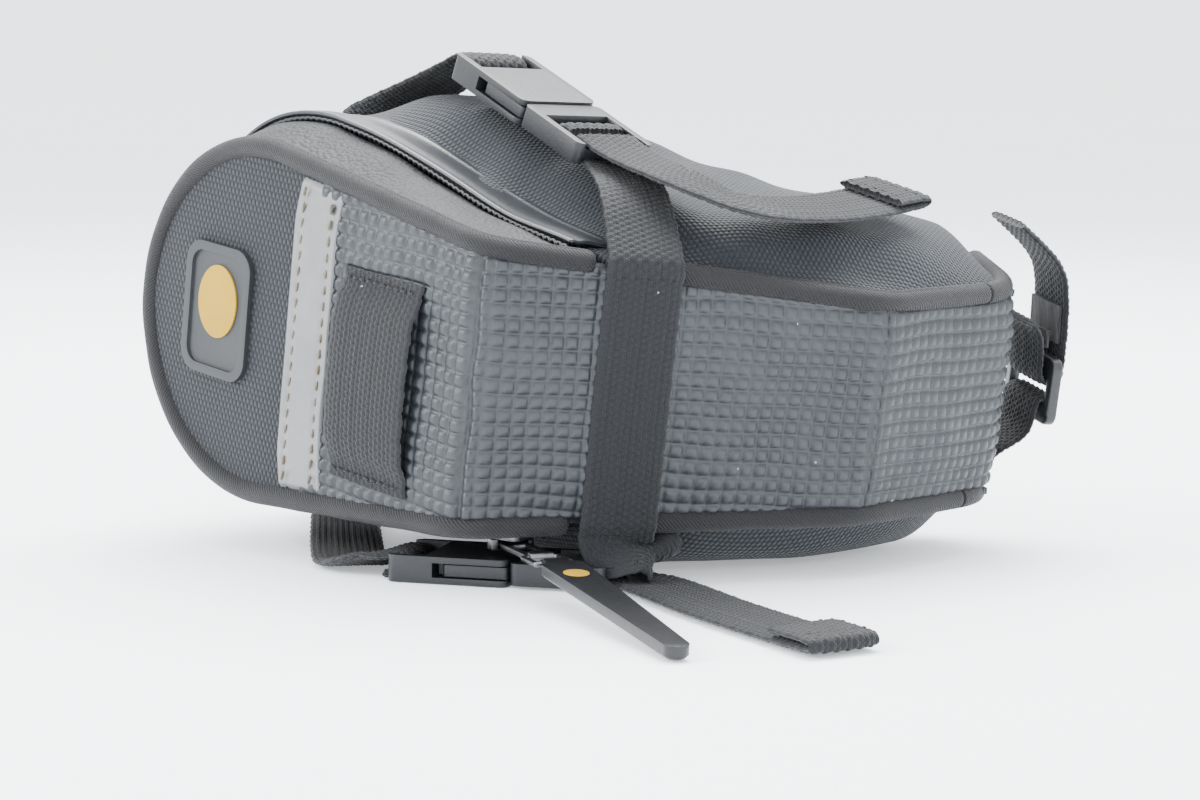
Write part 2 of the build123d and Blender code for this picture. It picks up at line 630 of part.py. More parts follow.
for place in (0, link_length):
    cross_bar = Pos(place, 0, 0) * Rot(90, 0, 0) * Cylinder(wire, 2 * half_link)
    link = cross_bar if link is None else link + cross_bar
for side in (1, -1):
    link = link + Pos(link_length / 2, side * half_link, 0) * Rot(0, 90, 0) * Cylinder(wire, link_length)
    for place in (0, link_length):
        link = link + Pos(place, side * half_link, 0) * Sphere(wire)
link = Pos(pull_tab_length, 0, -tab_middle) * link
body_start = 3.0
outline = Polyline((body_start, -puller_wide / 2 + 2), (body_start + 2, -puller_wide / 2),
                   (puller_length - puller_narrow / 2, -puller_narrow / 2))
tip_arc = ThreePointArc((puller_length - puller_narrow / 2, -puller_narrow / 2), (puller_length, 0),
                        (puller_length - puller_narrow / 2, puller_narrow / 2))
back_outline = Polyline((puller_length - puller_narrow / 2, puller_narrow / 2),
                        (body_start + 2, puller_wide / 2), (body_start, puller_wide / 2 - 2),
                        (body_start, -puller_wide / 2 + 2))
puller = extrude(make_face(Curve() + [outline, tip_arc, back_outline]), amount=puller_thickness / 2, both=True)
puller = chamfer(puller.faces().sort_by(Axis.Z)[0].edges(), 0.6)
puller = puller + Pos(body_start / 2, 0, 0) * Box(body_start + 0.2, link_width, 2 * barrel_radius)
puller = puller + Rot(90, 0, 0) * Cylinder(barrel_radius, link_width)
puller = puller - Rot(90, 0, 0) * Cylinder(wire + pin_gap, far / 8)
mark_depth = 0.4
mark = Pos(body_start + 9, 0, puller_thickness / 2 - mark_depth / 2) * Cylinder(2.6, mark_depth)
puller = puller - mark
pivot_run = pull_tab_length + link_length


def pull_place(shape):
    """Set a piece of the zip pull, drawn with x along it from the slider, on the lower panel."""
    return on_lower(Pos(*slider_middle, 0) * Rot(0, 0, pull_angle) * shape)


parts["zip_slider"] = pull_place(slider)
parts["pull_tab"] = pull_place(tab)
parts["pull_ring"] = pull_place(link)
hang = Pos(pivot_run, 0, -tab_middle) * Rot(0, puller_dip, 0)
parts["zip_puller"] = pull_place(hang * puller)
parts["puller_badge"] = pull_place(hang * mark)

# ---------------------------------------------------------------- seatpost strap on the nose wall
wall_middle = along(nose, nose_wall * 0.56, nose_wall_angle)
wall_out = nose_wall_angle - 90


def off_wall(distance, height):
    """A point a distance outside the nose wall, at a height across the bag."""
    return (*along(wall_middle, distance, wall_out), height)


wall_across = (cos(radians(nose_wall_angle)), sin(radians(nose_wall_angle)), 0)


def post_ribbon(route, width=post_strap_width, thickness=webbing_thickness):
    """Seatpost strap through (distance off the wall, height) points."""
    return ribbon([off_wall(*point) for point in route], wall_across, width, thickness)


sewn = lift + 0.15
wall_height = half_width(wall_middle)
parts["post_strap_long"] = post_ribbon([(sewn, wall_height - 4), (1.6, wall_height - 8), (4.5, 15.5), (9.0, 14.0),
                                        (10.8, 9.0), (10.8, 1.5), (15.4, 1.5)])
parts["post_strap_short"] = post_ribbon([(sewn, 5 - wall_height), (2.2, -15.0), (10.6, -10.5), (10.8, -1.9),
                                         (14.6, -1.9)])
post_end_route = [(15.9, 3.0), (15.9, 10.0), (15.2, 20.0), (13.0, 28.0), (2.0, 36.0)]
parts["post_strap_end"] = post_ribbon(post_end_route)
patch_thickness = 0.8
parts["post_hook_patch"] = post_ribbon([(14.55, 10.5), (13.95, 18.5)], post_strap_width - 3, patch_thickness)
parts["post_loop_patch"] = post_ribbon([(12.05, 9.4), (12.05, 12.8)], post_strap_width - 3, patch_thickness)
ring_plate = 2.4
ring_height = 15.0
ring_bar = 4.6
post_slot = Box(2 * ring_plate, post_strap_width + 1.2, ring_height - 2 * ring_bar)
post_ring = Box(ring_plate, post_strap_width + 7, ring_height)
post_ring = fillet(post_ring.edges().filter_by(Axis.X), 2.5)
ring_frame = Pos(*off_wall(13.2, 0)) * Rot(0, 0, wall_out)
parts["post_ring"] = ring_frame * (post_ring - post_slot)

# ---------------------------------------------------------------- placing and writing the pieces
parts["zip_flap"] = zip_flap
parts["side_panel_upper"] = sides["upper"]
parts["side_panel_lower"] = sides["lower"]

# ---------------------------------------------------------------- set down on the lower side
turned = {name: shape.rotate(tilt_axis, taper_deg) for name, shape in parts.items()}
boxes = [shape.bounding_box() for shape in turned.values()]
low = [min(box.min.X for box in boxes), min(box.min.Y for box in boxes), min(box.min.Z for box in boxes)]
high = [max(box.max.X for box in boxes), max(box.max.Y for box in boxes)]
set_down = (-(low[0] + high[0]) / 2, -(low[1] + high[1]) / 2, -low[2])
for name, shape in turned.items():
    export_step(Pos(*set_down) * shape, f"parts/{name}.step")
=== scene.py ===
"""Looks of the strap-mount saddle bag: fabric, webbing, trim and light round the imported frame."""
import json
from math import asin, atan2, cos, degrees, hypot, pi, radians, sin, tan

import bpy
import numpy as np
from mathutils import Matrix, Vector

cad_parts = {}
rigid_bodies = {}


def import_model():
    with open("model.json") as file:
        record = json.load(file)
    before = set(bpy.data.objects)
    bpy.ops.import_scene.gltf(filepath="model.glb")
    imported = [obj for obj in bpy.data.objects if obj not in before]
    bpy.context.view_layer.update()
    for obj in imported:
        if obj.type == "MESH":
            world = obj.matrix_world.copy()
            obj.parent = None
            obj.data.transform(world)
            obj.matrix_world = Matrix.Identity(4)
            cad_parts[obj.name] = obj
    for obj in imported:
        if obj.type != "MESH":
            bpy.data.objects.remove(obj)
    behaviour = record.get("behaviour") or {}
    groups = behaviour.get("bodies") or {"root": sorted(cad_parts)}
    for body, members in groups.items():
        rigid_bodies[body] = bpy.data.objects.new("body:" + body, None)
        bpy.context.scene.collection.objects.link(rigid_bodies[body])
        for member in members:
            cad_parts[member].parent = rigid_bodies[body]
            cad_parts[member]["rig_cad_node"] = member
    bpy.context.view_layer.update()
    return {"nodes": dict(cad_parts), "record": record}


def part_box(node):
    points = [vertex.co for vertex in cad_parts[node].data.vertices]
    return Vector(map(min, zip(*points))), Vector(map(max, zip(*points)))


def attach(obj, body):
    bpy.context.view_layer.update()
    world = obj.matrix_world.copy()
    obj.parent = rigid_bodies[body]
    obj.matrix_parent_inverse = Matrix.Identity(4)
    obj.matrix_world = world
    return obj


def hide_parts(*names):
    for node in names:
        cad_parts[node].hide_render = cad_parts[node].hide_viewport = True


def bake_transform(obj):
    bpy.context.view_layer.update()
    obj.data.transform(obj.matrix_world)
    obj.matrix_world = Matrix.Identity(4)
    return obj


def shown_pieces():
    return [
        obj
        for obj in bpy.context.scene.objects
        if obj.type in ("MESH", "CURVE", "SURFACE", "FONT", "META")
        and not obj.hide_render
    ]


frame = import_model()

MM = 0.001

# ---------------------------------------------------------------- sizes, as in the CAD (mm)
rear_length, belly_length, nose_length, nose_wall, rear_depth = 106.0, 84.6, 45.0, 26.0, 43.0
rear_angle, belly_angle, nose_angle, nose_wall_angle = 143.5, 20.8, 53.5, 112.0
arch_radius, nose_half_width = 38.2, 23.2
upper_bulge, lower_bulge = 9.0, 12.5
piping_inset = 0.8
zip_setback, hinge_distance = 16.0, 23.5
webbing, webbing_thickness = 16.0, 1.6


def along(start, length, angle):
    """The point a given length from start, in a direction given in degrees from x."""
    return (start[0] + length * cos(radians(angle)), start[1] + length * sin(radians(angle)))


seam_1 = (0.0, 0.0)
arch_top = along(seam_1, rear_length, rear_angle)
seam_2 = along(seam_1, belly_length, belly_angle)
nose = along(seam_2, nose_length, nose_angle)
saddle_front = along(nose, nose_wall, nose_wall_angle)
saddle_rear = along(arch_top, rear_depth, rear_angle - 90)
fold = along(seam_1, hinge_distance, belly_angle)
rear_run = np.array([-cos(radians(rear_angle)), -sin(radians(rear_angle))])
inward = np.array([cos(radians(rear_angle - 90)), sin(radians(rear_angle - 90))])
top = np.array(arch_top)


def run_depth(point):
    """Run along the rear face from the arch, and depth in from the rear face, of a plan point."""
    rel = np.asarray(point, float)[..., :2] - top
    return rel @ rear_run, rel @ inward


seam_2_run = run_depth(seam_2)[0]
nose_reach = hypot(seam_2_run - arch_radius, nose_half_width)
taper = asin(arch_radius / nose_reach) - atan2(nose_half_width, seam_2_run - arch_radius)
tangent_run = arch_radius * (1 + sin(taper))


def half_width(run):
    """Half the bag's width at a run: the arch's circle, then the straight taper."""
    run = np.asarray(run, float)
    circle = np.sqrt(np.clip(arch_radius ** 2 - (arch_radius - run) ** 2, 0, None))
    straight = arch_radius * cos(taper) - (run - tangent_run) * tan(taper)
    return np.where(run < tangent_run, circle, straight)


axis = np.array([inward[0], inward[1], 0.0])


def turn(points, angle):
    """Points turned about the tilt axis, which runs inward through seam 1 (Rodrigues' formula)."""
    points = np.asarray(points, float)
    along_axis = (points @ axis)[..., None] * axis
    return points * cos(angle) + np.cross(axis, points) * sin(angle) + along_axis * (1 - cos(angle))


strap_root = along(seam_1, hinge_distance + 1.0 + webbing / 2, belly_angle)
outward = (sin(radians(belly_angle)), -cos(radians(belly_angle)))
low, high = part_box("belly_strap")
strap_centre = np.array([strap_root[0] + outward[0] * 0.8, strap_root[1] + outward[1] * 0.8, 0.0])
set_down = np.array((low + high) / 2) / MM - turn(strap_centre, taper)


def row(points):
    """Bag-frame points in mm, taken to the row frame in metres."""
    return (turn(points, taper) + set_down) * MM


seam_half_width = float(half_width(rear_length))


def on_side(points, side):
    """Points in a side panel's own frame, taken to the bag's frame."""
    return turn(points, side * taper) + np.array([0, 0, side * seam_half_width])


def wander(x, y, scale, seed):
    """Smooth unevenness between -1 and 1: five sine waves of random heading and phase added up."""
    r = np.random.default_rng(seed)
    total = 0
    for k in range(5):
        a, p, f = r.uniform(0, 2 * pi), r.uniform(0, 2 * pi), r.uniform(0.6, 1.6) / scale
        total = total + np.sin((x * cos(a) + y * sin(a)) * 2 * pi * f + p)
    return total / 3


def step(x):
    """Smooth step, 0 below 0 and 1 above 1."""
    x = np.clip(x, 0, 1)
    return x * x * (3 - 2 * x)


# ---------------------------------------------------------------- materials
def nodes_of(name, base, rough, spec=0.4, metal=0.0, sheen=0.0, coat=0.0):
    """A new material with its shader's plain values set."""
    mat = bpy.data.materials.new(name)
    mat.use_nodes = True
    tree = mat.node_tree
    shader = tree.nodes["Principled BSDF"]
    shader.inputs["Base Color"].default_value = (*base, 1)
    shader.inputs["Roughness"].default_value = rough
    shader.inputs["Specular IOR Level"].default_value = spec
    shader.inputs["Metallic"].default_value = metal
    shader.inputs["Sheen Weight"].default_value = sheen
    shader.inputs["Sheen Roughness"].default_value = 0.45
    shader.inputs["Coat Weight"].default_value = coat
    return mat, tree, shader


def calc(tree, op, a, b=None):
    """A math node on sockets or numbers."""
    node = tree.nodes.new("ShaderNodeMath")
    node.operation = op
    for slot, value in zip(node.inputs, (a, b)):
        if value is None:
            continue
        if hasattr(value, "links"):
            tree.links.new(value, slot)
        else:
            slot.default_value = value
    return node.outputs[0]


def noise(tree, vector, scale, detail=3.0):
    """A noise node's value."""
    node = tree.nodes.new("ShaderNodeTexNoise")
    node.inputs["Scale"].default_value = scale
    node.inputs["Detail"].default_value = detail
    tree.links.new(vector, node.inputs["Vector"])
    return node.outputs[0]


def ramp(tree, value, dark, light, low=0.3, high=0.7):
    """A colour between dark and light."""
    node = tree.nodes.new("ShaderNodeValToRGB")
    node.color_ramp.elements[0].position = low
    node.color_ramp.elements[0].color = (*dark, 1)
    node.color_ramp.elements[1].position = high
    node.color_ramp.elements[1].color = (*light, 1)
    tree.links.new(value, node.inputs[0])
    return node.outputs[0]


def spread(tree, value, low, high):
    """A value mapped from 0..1 to low..high."""
    return calc(tree, "ADD", calc(tree, "MULTIPLY", value, high - low), low)


def finish_material(tree, shader, colour, rough, height, distance, strength=1.0):
    """Link colour, roughness and bump height to the shader."""
    tree.links.new(colour, shader.inputs["Base Color"])
    if rough is not None:
        tree.links.new(rough, shader.inputs["Roughness"])
    bump = tree.nodes.new("ShaderNodeBump")
    bump.inputs["Strength"].default_value = strength
    bump.inputs["Distance"].default_value = distance
    tree.links.new(height, bump.inputs["Height"])
    tree.links.new(bump.outputs[0], shader.inputs["Normal"])


def coords(tree, uv):
    """UV map in metres, or object coordinates."""
    if uv:
        node = tree.nodes.new("ShaderNodeUVMap")
        node.uv_map = "UVMap"
        return node.outputs[0]
    return tree.nodes.new("ShaderNodeTexCoord").outputs["Object"]


def split(tree, vector):
    """The three parts of a vector."""
    node = tree.nodes.new("ShaderNodeSeparateXYZ")
    tree.links.new(vector, node.inputs[0])
    return node.outputs


def plain_weave(tree, vector, pitch):
    """Height of a plain weave: threads over and under in turn, each a rounded knuckle."""
    x, y, _ = split(tree, vector)
    kx = calc(tree, "MULTIPLY", x, pi / pitch)
    ky = calc(tree, "MULTIPLY", y, pi / pitch)
    row_parity = calc(tree, "MULTIPLY", calc(tree, "FLOOR", calc(tree, "DIVIDE", y, pitch)), pi / 2)
    one = calc(tree, "ABSOLUTE", calc(tree, "SINE", calc(tree, "ADD", kx, row_parity)))
    two = calc(tree, "ABSOLUTE", calc(tree, "SINE", ky))
    return calc(tree, "MULTIPLY", one, two)


def woven(name, dark, light, pitch, depth, rough=(0.62, 0.85), sheen=0.08, uv=True, spec=0.3):
    """Woven cloth: weave relief, painted shade in the hollows between threads and a painted highlight on the
    knuckle tops, broad fading and fuzz.
    """
    mat, tree, shader = nodes_of(name, dark, 0.75, spec=spec, sheen=sheen)
    vector = coords(tree, uv)
    weave = plain_weave(tree, vector, pitch)
    fuzz = noise(tree, vector, 2600, 2)
    broad = noise(tree, vector, 28, 4)
    # the weave's height also goes into the colour: painted shade between the threads, painted highlight on
    # their tops
    mixed = calc(tree, "ADD", calc(tree, "MULTIPLY", weave, 0.55), calc(tree, "MULTIPLY", broad, 0.5))
    mixed = calc(tree, "ADD", mixed, calc(tree, "MULTIPLY", fuzz, 0.12))
    colour = ramp(tree, mixed, dark, light, 0.25, 0.95)
    height = calc(tree, "ADD", weave, calc(tree, "MULTIPLY", fuzz, 0.25))
    finish_material(tree, shader, colour, spread(tree, broad, *rough), height, depth)
    return mat


def moulded(name, dark, light, rough=(0.32, 0.5), grain=1800, depth=0.00006, uv=False, spec=0.45, metal=0.0,
            coat=0.0):
    """Moulded plastic, rubber or metal: fine grain, soft mottling and handling marks."""
    mat, tree, shader = nodes_of(name, dark, 0.4, spec=spec, metal=metal, coat=coat)
    vector = coords(tree, uv)
    fine = noise(tree, vector, grain, 3)
    broad = noise(tree, vector, 45, 5)
    marks = noise(tree, vector, 260, 6)
    mixed = calc(tree, "ADD", calc(tree, "MULTIPLY", broad, 0.7), calc(tree, "MULTIPLY", marks, 0.3))
    colour = ramp(tree, mixed, dark, light)
    height = calc(tree, "ADD", fine, calc(tree, "MULTIPLY", marks, 0.8))
    finish_material(tree, shader, colour, spread(tree, mixed, *rough), height, depth)
    return mat


def dusted(mat, amount=0.5):
    """Sparse pale specks of dust and lint laid over a material's colour."""
    tree = mat.node_tree
    shader = tree.nodes["Principled BSDF"]
    source = shader.inputs["Base Color"].links[0].from_socket
    cells = tree.nodes.new("ShaderNodeTexVoronoi")
    cells.inputs["Scale"].default_value = 260
    tree.links.new(tree.nodes.new("ShaderNodeTexCoord").outputs["Object"], cells.inputs["Vector"])
    near = calc(tree, "LESS_THAN", cells.outputs["Distance"], 0.07)
    pick = calc(tree, "GREATER_THAN", split(tree, cells.outputs["Color"])[0], 0.9)
    mask = calc(tree, "MULTIPLY", calc(tree, "MULTIPLY", near, pick), amount)
    mix = tree.nodes.new("ShaderNodeMix")
    mix.data_type = "RGBA"
    tree.links.new(mask, mix.inputs["Factor"])
    tree.links.new(source, mix.inputs["A"])
    mix.inputs["B"].default_value = (0.55, 0.5, 0.42, 1)
    tree.links.new(mix.outputs["Result"], shader.inputs["Base Color"])
    return mat


def pebbled(name, dark, light):
    """Pebbled coating: small irregular rounded grains, with painted shade in the gaps between them and painted
    highlights on their tops.
    """
    mat, tree, shader = nodes_of(name, dark, 0.6, spec=0.35)
    vector = coords(tree, True)
    cells = tree.nodes.new("ShaderNodeTexVoronoi")
    cells.inputs["Scale"].default_value = 1050
    tree.links.new(vector, cells.inputs["Vector"])
    grain = calc(tree, "SUBTRACT", 1.0, cells.outputs["Distance"])
    broad = noise(tree, vector, 60, 4)
    # the grain height also sets the colour: painted shade between the grains, painted highlight on their tops
    colour = ramp(tree, calc(tree, "MULTIPLY", grain, calc(tree, "ADD", broad, 0.5)), dark, light, 0.35, 0.95)
    finish_material(tree, shader, colour, spread(tree, broad, 0.5, 0.72), grain, 0.0003)
    return mat


def twilled(name, dark, light, pitch):
    """Piping cover: fine slanting threads, with painted shade in the grooves between them and a painted
    highlight on their ridges.
    """
    mat, tree, shader = nodes_of(name, dark, 0.6, spec=0.3, sheen=0.05)
    vector = coords(tree, True)
    x, y, _ = split(tree, vector)
    slant = calc(tree, "MULTIPLY", calc(tree, "ADD", x, calc(tree, "MULTIPLY", y, 0.9)), pi / pitch)
    cross = calc(tree, "MULTIPLY", calc(tree, "SUBTRACT", x, calc(tree, "MULTIPLY", y, 2.2)), pi / pitch)
    thread = calc(tree, "ABSOLUTE", calc(tree, "SINE", slant))
    knot = calc(tree, "ABSOLUTE", calc(tree, "SINE", cross))
    relief = calc(tree, "ADD", calc(tree, "MULTIPLY", thread, 0.7), calc(tree, "MULTIPLY", knot, 0.3))
    broad = noise(tree, vector, 90, 4)
    # the thread relief also sets the colour: painted shade in the grooves, painted highlight on the ridges
    mixed = calc(tree, "MULTIPLY", relief, calc(tree, "ADD", broad, 0.4))
    finish_material(tree, shader, ramp(tree, mixed, dark, light, 0.1, 0.9), spread(tree, broad, 0.5, 0.75),
                    relief, 0.00022)
    return mat


side_cloth = woven("side_cloth", (0.00294, 0.00462, 0.00714), (0.0126, 0.0168, 0.0227), 0.00105, 0.00030,
                   sheen=0.12)
rear_cloth = woven("rear_cloth", (0.0018, 0.00288, 0.00468), (0.0081, 0.0108, 0.0153), 0.0013, 0.00034,
                   sheen=0.087)
grip_vinyl = dusted(moulded("grip_vinyl", (0.0084, 0.0109, 0.0139), (0.0139, 0.0172, 0.021),
                            rough=(0.4, 0.55),
                            grain=2400, depth=0.00005, spec=0.5), 0.45)
web_cloth = dusted(woven("web_cloth", (0.0025, 0.00287, 0.00375), (0.01, 0.011, 0.0135), 0.0005, 0.00008,
                         sheen=0.1), 0.5)
piping_cloth = twilled("piping_cloth", (0.0027, 0.00243, 0.00324), (0.00837, 0.00783, 0.00945), 0.0008)
band_coat = pebbled("band_coat", (0.00378, 0.00462, 0.00588), (0.0147, 0.0168, 0.0199))
flap_rubber = moulded("flap_rubber", (0.00588, 0.00756, 0.0105), (0.0105, 0.013, 0.0168),
                      rough=(0.32, 0.45), spec=0.5)
tape_cloth = woven("tape_cloth", (0.0024, 0.0024, 0.003), (0.009, 0.009, 0.0102), 0.0007, 0.0002)
tooth_plastic = moulded("tooth_plastic", (0.0036, 0.0036, 0.0042), (0.009, 0.009, 0.0102))
board_plastic = moulded("board_plastic", (0.03, 0.03, 0.03), (0.048, 0.048, 0.048), rough=(0.6, 0.8))
reflector = moulded("reflector", (0.112, 0.114, 0.117), (0.16, 0.162, 0.165), rough=(0.3, 0.5), grain=3200,
                    depth=0.0001)
buckle_plastic = moulded("buckle_plastic", (0.004, 0.00475, 0.00625), (0.0085, 0.00975, 0.012),
                         rough=(0.34, 0.5))
gun_metal = moulded("gun_metal", (0.10, 0.10, 0.11), (0.2, 0.2, 0.21), rough=(0.25, 0.42), metal=1.0,
                    spec=0.5)
puller_rubber = moulded("puller_rubber", (0.003, 0.00325, 0.004), (0.007, 0.0075, 0.00875), rough=(0.3, 0.45))
badge_rubber = moulded("badge_rubber", (0.00945, 0.0115, 0.0137), (0.0158, 0.0185, 0.021), rough=(0.5, 0.65))
mark_rubber = moulded("mark_rubber", (0.30, 0.17, 0.006), (0.36, 0.22, 0.012), rough=(0.5, 0.65), spec=0.2)
tan_thread = woven("tan_thread", (0.0784, 0.0588, 0.0364), (0.14, 0.112, 0.0756), 0.0004, 0.0001, uv=False)
dark_thread = woven("dark_thread", (0.004, 0.004, 0.005), (0.015, 0.015, 0.017), 0.0004, 0.0001, uv=False)
hook_cloth = woven("hook_cloth", (0.006, 0.006, 0.007), (0.02, 0.02, 0.022), 0.0006, 0.0003, uv=False)


# ---------------------------------------------------------------- mesh building
def mesh_piece(name, points, faces, material, body, uv=None, smooth=True):
    """A closed mesh from bag-frame points in mm and quads; uv is per point, in metres."""
    mesh = bpy.data.meshes.new(name)
    mesh.from_pydata(row(points).tolist(), [], [])
    faces = np.asarray(faces, np.int32)
    mesh.loops.add(faces.size)
    mesh.polygons.add(len(faces))
    mesh.loops.foreach_set("vertex_index", faces.ravel())
    mesh.polygons.foreach_set("loop_start", np.arange(0, faces.size, faces.shape[1], dtype=np.int32))
    mesh.polygons.foreach_set("loop_total", np.full(len(faces), faces.shape[1], np.int32))
    if uv is not None:
        layer = mesh.uv_layers.new(name="UVMap")
        layer.data.foreach_set("uv", np.asarray(uv, np.float32)[faces.ravel()].ravel())
    mesh.update(calc_edges=True)
    mesh.validate()
    mesh.polygons.foreach_set("use_smooth", np.full(len(mesh.polygons), smooth))
    mesh.materials.append(material)
    piece = bpy.data.objects.new(name, mesh)
    bpy.context.scene.collection.objects.link(piece)
    if body:
        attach(piece, body)
    return piece


def normals_of(grid):
    """Unit normals of a grid of points, from the cross product of its two directions."""
    a = np.gradient(grid, axis=0)
    b = np.gradient(grid, axis=1)
    n = np.cross(a, b)
    return n / np.maximum(np.linalg.norm(n, axis=-1, keepdims=True), 1e-9)


def grid_faces(nu, nv, start=0, flip=False, wrap=False):
    """Quads of an nu by nv grid; wrap joins the last column to the first."""
    u, v = np.meshgrid(np.arange(nu - 1), np.arange(nv if wrap else nv - 1), indexing="ij")
    w = (v + 1) % nv
    quads = np.stack([u * nv + v, (u + 1) * nv + v, (u + 1) * nv + w, u * nv + w], -1).reshape(-1, 4)
    return start + (quads[:, ::-1] if flip else quads)


def slab(name, grid, thickness, material, body, uv, relief=None):
    """A closed sheet: the grid plus its relief, a back face a thickness inside, and the rim between."""
    nu, nv, _ = grid.shape
    n = normals_of(grid)
    front = grid if relief is None else grid + n * relief[..., None]
    back = grid - n * thickness
    points = np.concatenate([front.reshape(-1, 3), back.reshape(-1, 3)])
    count = nu * nv
    faces = [grid_faces(nu, nv), grid_faces(nu, nv, count, flip=True)]
    index = np.arange(count).reshape(nu, nv)
    for edge, flip in ((index[0], False), (index[-1], True), (index[:, 0], True), (index[:, -1], False)):
        a, b = edge[:-1], edge[1:]
        rim = np.stack([a, b, b + count, a + count], -1)
        faces.append(rim[:, ::-1] if flip else rim)
    uvs = np.concatenate([uv.reshape(-1, 2), uv.reshape(-1, 2)]) * MM
    return mesh_piece(name, points, np.concatenate(faces), material, body, uvs)


def resample(points, spacing):
    """Points along a polyline, evenly spaced."""
    points = np.asarray(points, float)
    lengths = np.r_[0, np.cumsum(np.linalg.norm(np.diff(points, axis=0), axis=1))]
    count = max(int(lengths[-1] / spacing), 2) + 1
    s = np.linspace(0, lengths[-1], count)
    return np.stack([np.interp(s, lengths, points[:, k]) for k in range(points.shape[1])], 1), s


def smooth_route(points, rounds=3):
    """A polyline with its corners rounded by cutting them off (Chaikin), ends kept."""
    points = np.asarray(points, float)
    for _ in range(rounds):
        a, b = points[:-1], points[1:]
        cut = np.stack([0.75 * a + 0.25 * b, 0.25 * a + 0.75 * b], 1).reshape(-1, points.shape[1])
        points = np.concatenate([points[:1], cut[1:-1], points[-1:]])
    return points


def pillow(x, pitch, power=3):
    """A rounded cell: 1 in its middle, 0 on its borders."""
    t = np.abs((x / pitch) % 1 - 0.5) * 2
    return 1 - t ** power


def knuckles(u, v, pitch_u, pitch_v):
    """Webbing relief: rows of rounded knuckles, every second row half a knuckle on."""
    rows = np.floor(v / pitch_v)
    return np.abs(np.sin(pi * v / pitch_v)) ** 0.7 * np.abs(np.sin(pi * (u / pitch_u + 0.5 * rows))) ** 0.8


def strap(name, route, across, width, material, body, thickness=webbing_thickness, seed=1, fray=0.25,
          relief=0.42, spacing=0.3):
    """Webbing: a closed ribbon along a route, ribbed on both faces, with rounded selvedges.

    across is the width direction, one for the whole route or one for each of its points."""
    route = np.asarray(route, float)
    across = np.asarray(across, float)
    if across.ndim == 1:
        across = np.repeat(across[None], len(route), 0)
    both = smooth_route(np.hstack([route, across]))
    line, s = resample(both, spacing)
    centre, side = line[:, :3], line[:, 3:]
    tangent = np.gradient(centre, axis=0)
    tangent /= np.linalg.norm(tangent, axis=1, keepdims=True)
    side = side - (side * tangent).sum(1, keepdims=True) * tangent
    side /= np.linalg.norm(side, axis=1, keepdims=True)
    normal = np.cross(tangent, side)
    half = width / 2
    flat = np.linspace(-half, half, max(int(width / spacing), 8))
    ring_w = np.r_[flat, flat[::-1]]
    face = np.r_[np.ones(len(flat)), -np.ones(len(flat))]
    edge = np.sqrt(np.clip(1 - (np.abs(ring_w) / half) ** 8, 0, 1))
    ripple = 1 + 0.012 * np.sin(s * 1.1 + seed) + 0.01 * np.sin(s * 2.3)
    u = s[:, None]
    bumps = knuckles(u, ring_w[None] + 40, 1.5, 1.3) * relief * edge[None]
    offset = face[None] * (edge[None] * (thickness / 2 - relief * 0.6) + bumps)
    wave = wander(s, s * 0, 30, seed)[:, None] * fray
    points = centre[:, None] + side[:, None] * (ring_w[None] * ripple[:, None])[..., None] \
        + normal[:, None] * (offset + wave * (1 - (ring_w[None] / half) ** 2) * 0.5)[..., None]
    nu, nv = offset.shape
    faces = [grid_faces(nu, nv, wrap=True, flip=True)]
    m = len(flat)
    for start, flip in ((0, True), ((nu - 1) * nv, False)):
        a = start + np.arange(m - 1)
        b = start + nv - 1 - np.arange(m - 1)
        cap = np.stack([a, a + 1, b - 1, b], -1)
        faces.append(cap if flip else cap[:, ::-1])
    uv = np.stack([np.broadcast_to(u, (nu, nv)), np.broadcast_to(ring_w, (nu, nv))], -1) * MM
    return mesh_piece(name, points.reshape(-1, 3), np.concatenate(faces), material, body, uv.reshape(-1, 2))


def tube_piece(name, path, radius, material, body, spacing=0.7, sides=20, squash=1.0, seed=1):
    """A round cord cover along a path, its radius wavering a little, its ends domed shut."""
    line, s = resample(path, spacing)
    tangent = np.gradient(line, axis=0)
    tangent /= np.linalg.norm(tangent, axis=1, keepdims=True)
    guide = np.array([inward[0], inward[1], 0.0])
    side = np.cross(tangent, guide)
    side /= np.linalg.norm(side, axis=1, keepdims=True)
    normal = np.cross(side, tangent)
    angle = np.linspace(0, 2 * pi, sides, endpoint=False)
    size = radius * (1 + 0.03 * wander(s, s * 0, 14, seed))
    cap = np.sqrt(np.clip(1 - np.clip(1 - s / radius, 0, 1) ** 2, 0.001, 1)) \
        * np.sqrt(np.clip(1 - np.clip(1 - (s[-1] - s) / radius, 0, 1) ** 2, 0.001, 1))
    ring = side[:, None] * np.cos(angle)[None, :, None] + normal[:, None] * np.sin(angle)[None, :,
            None] * squash
    points = line[:, None] + ring * (size * cap)[:, None, None]
    nu = len(line)
    ends = np.stack([line[0], line[-1]])
    faces = grid_faces(nu, sides, wrap=True)
    count = nu * sides
    k = np.arange(sides)
    first = np.stack([np.full(sides, count), k, (k + 1) % sides], -1)
    last = np.stack([np.full(sides, count + 1), (nu - 1) * sides + (k + 1) % sides, (nu - 1) * sides + k], -1)
    tris = np.concatenate([faces[:, [0, 1, 2]], faces[:, [0, 2, 3]], first, last])[:, ::-1]
    uv = np.stack([np.broadcast_to(s[:, None], (nu, sides)), np.broadcast_to(angle * radius, (nu, sides))],
                  -1)
    uv = np.concatenate([uv.reshape(-1, 2), [[0, 0], [s[-1], 0]]]) * MM
    return mesh_piece(name, np.concatenate([points.reshape(-1, 3), ends]), tris, material, body, uv)


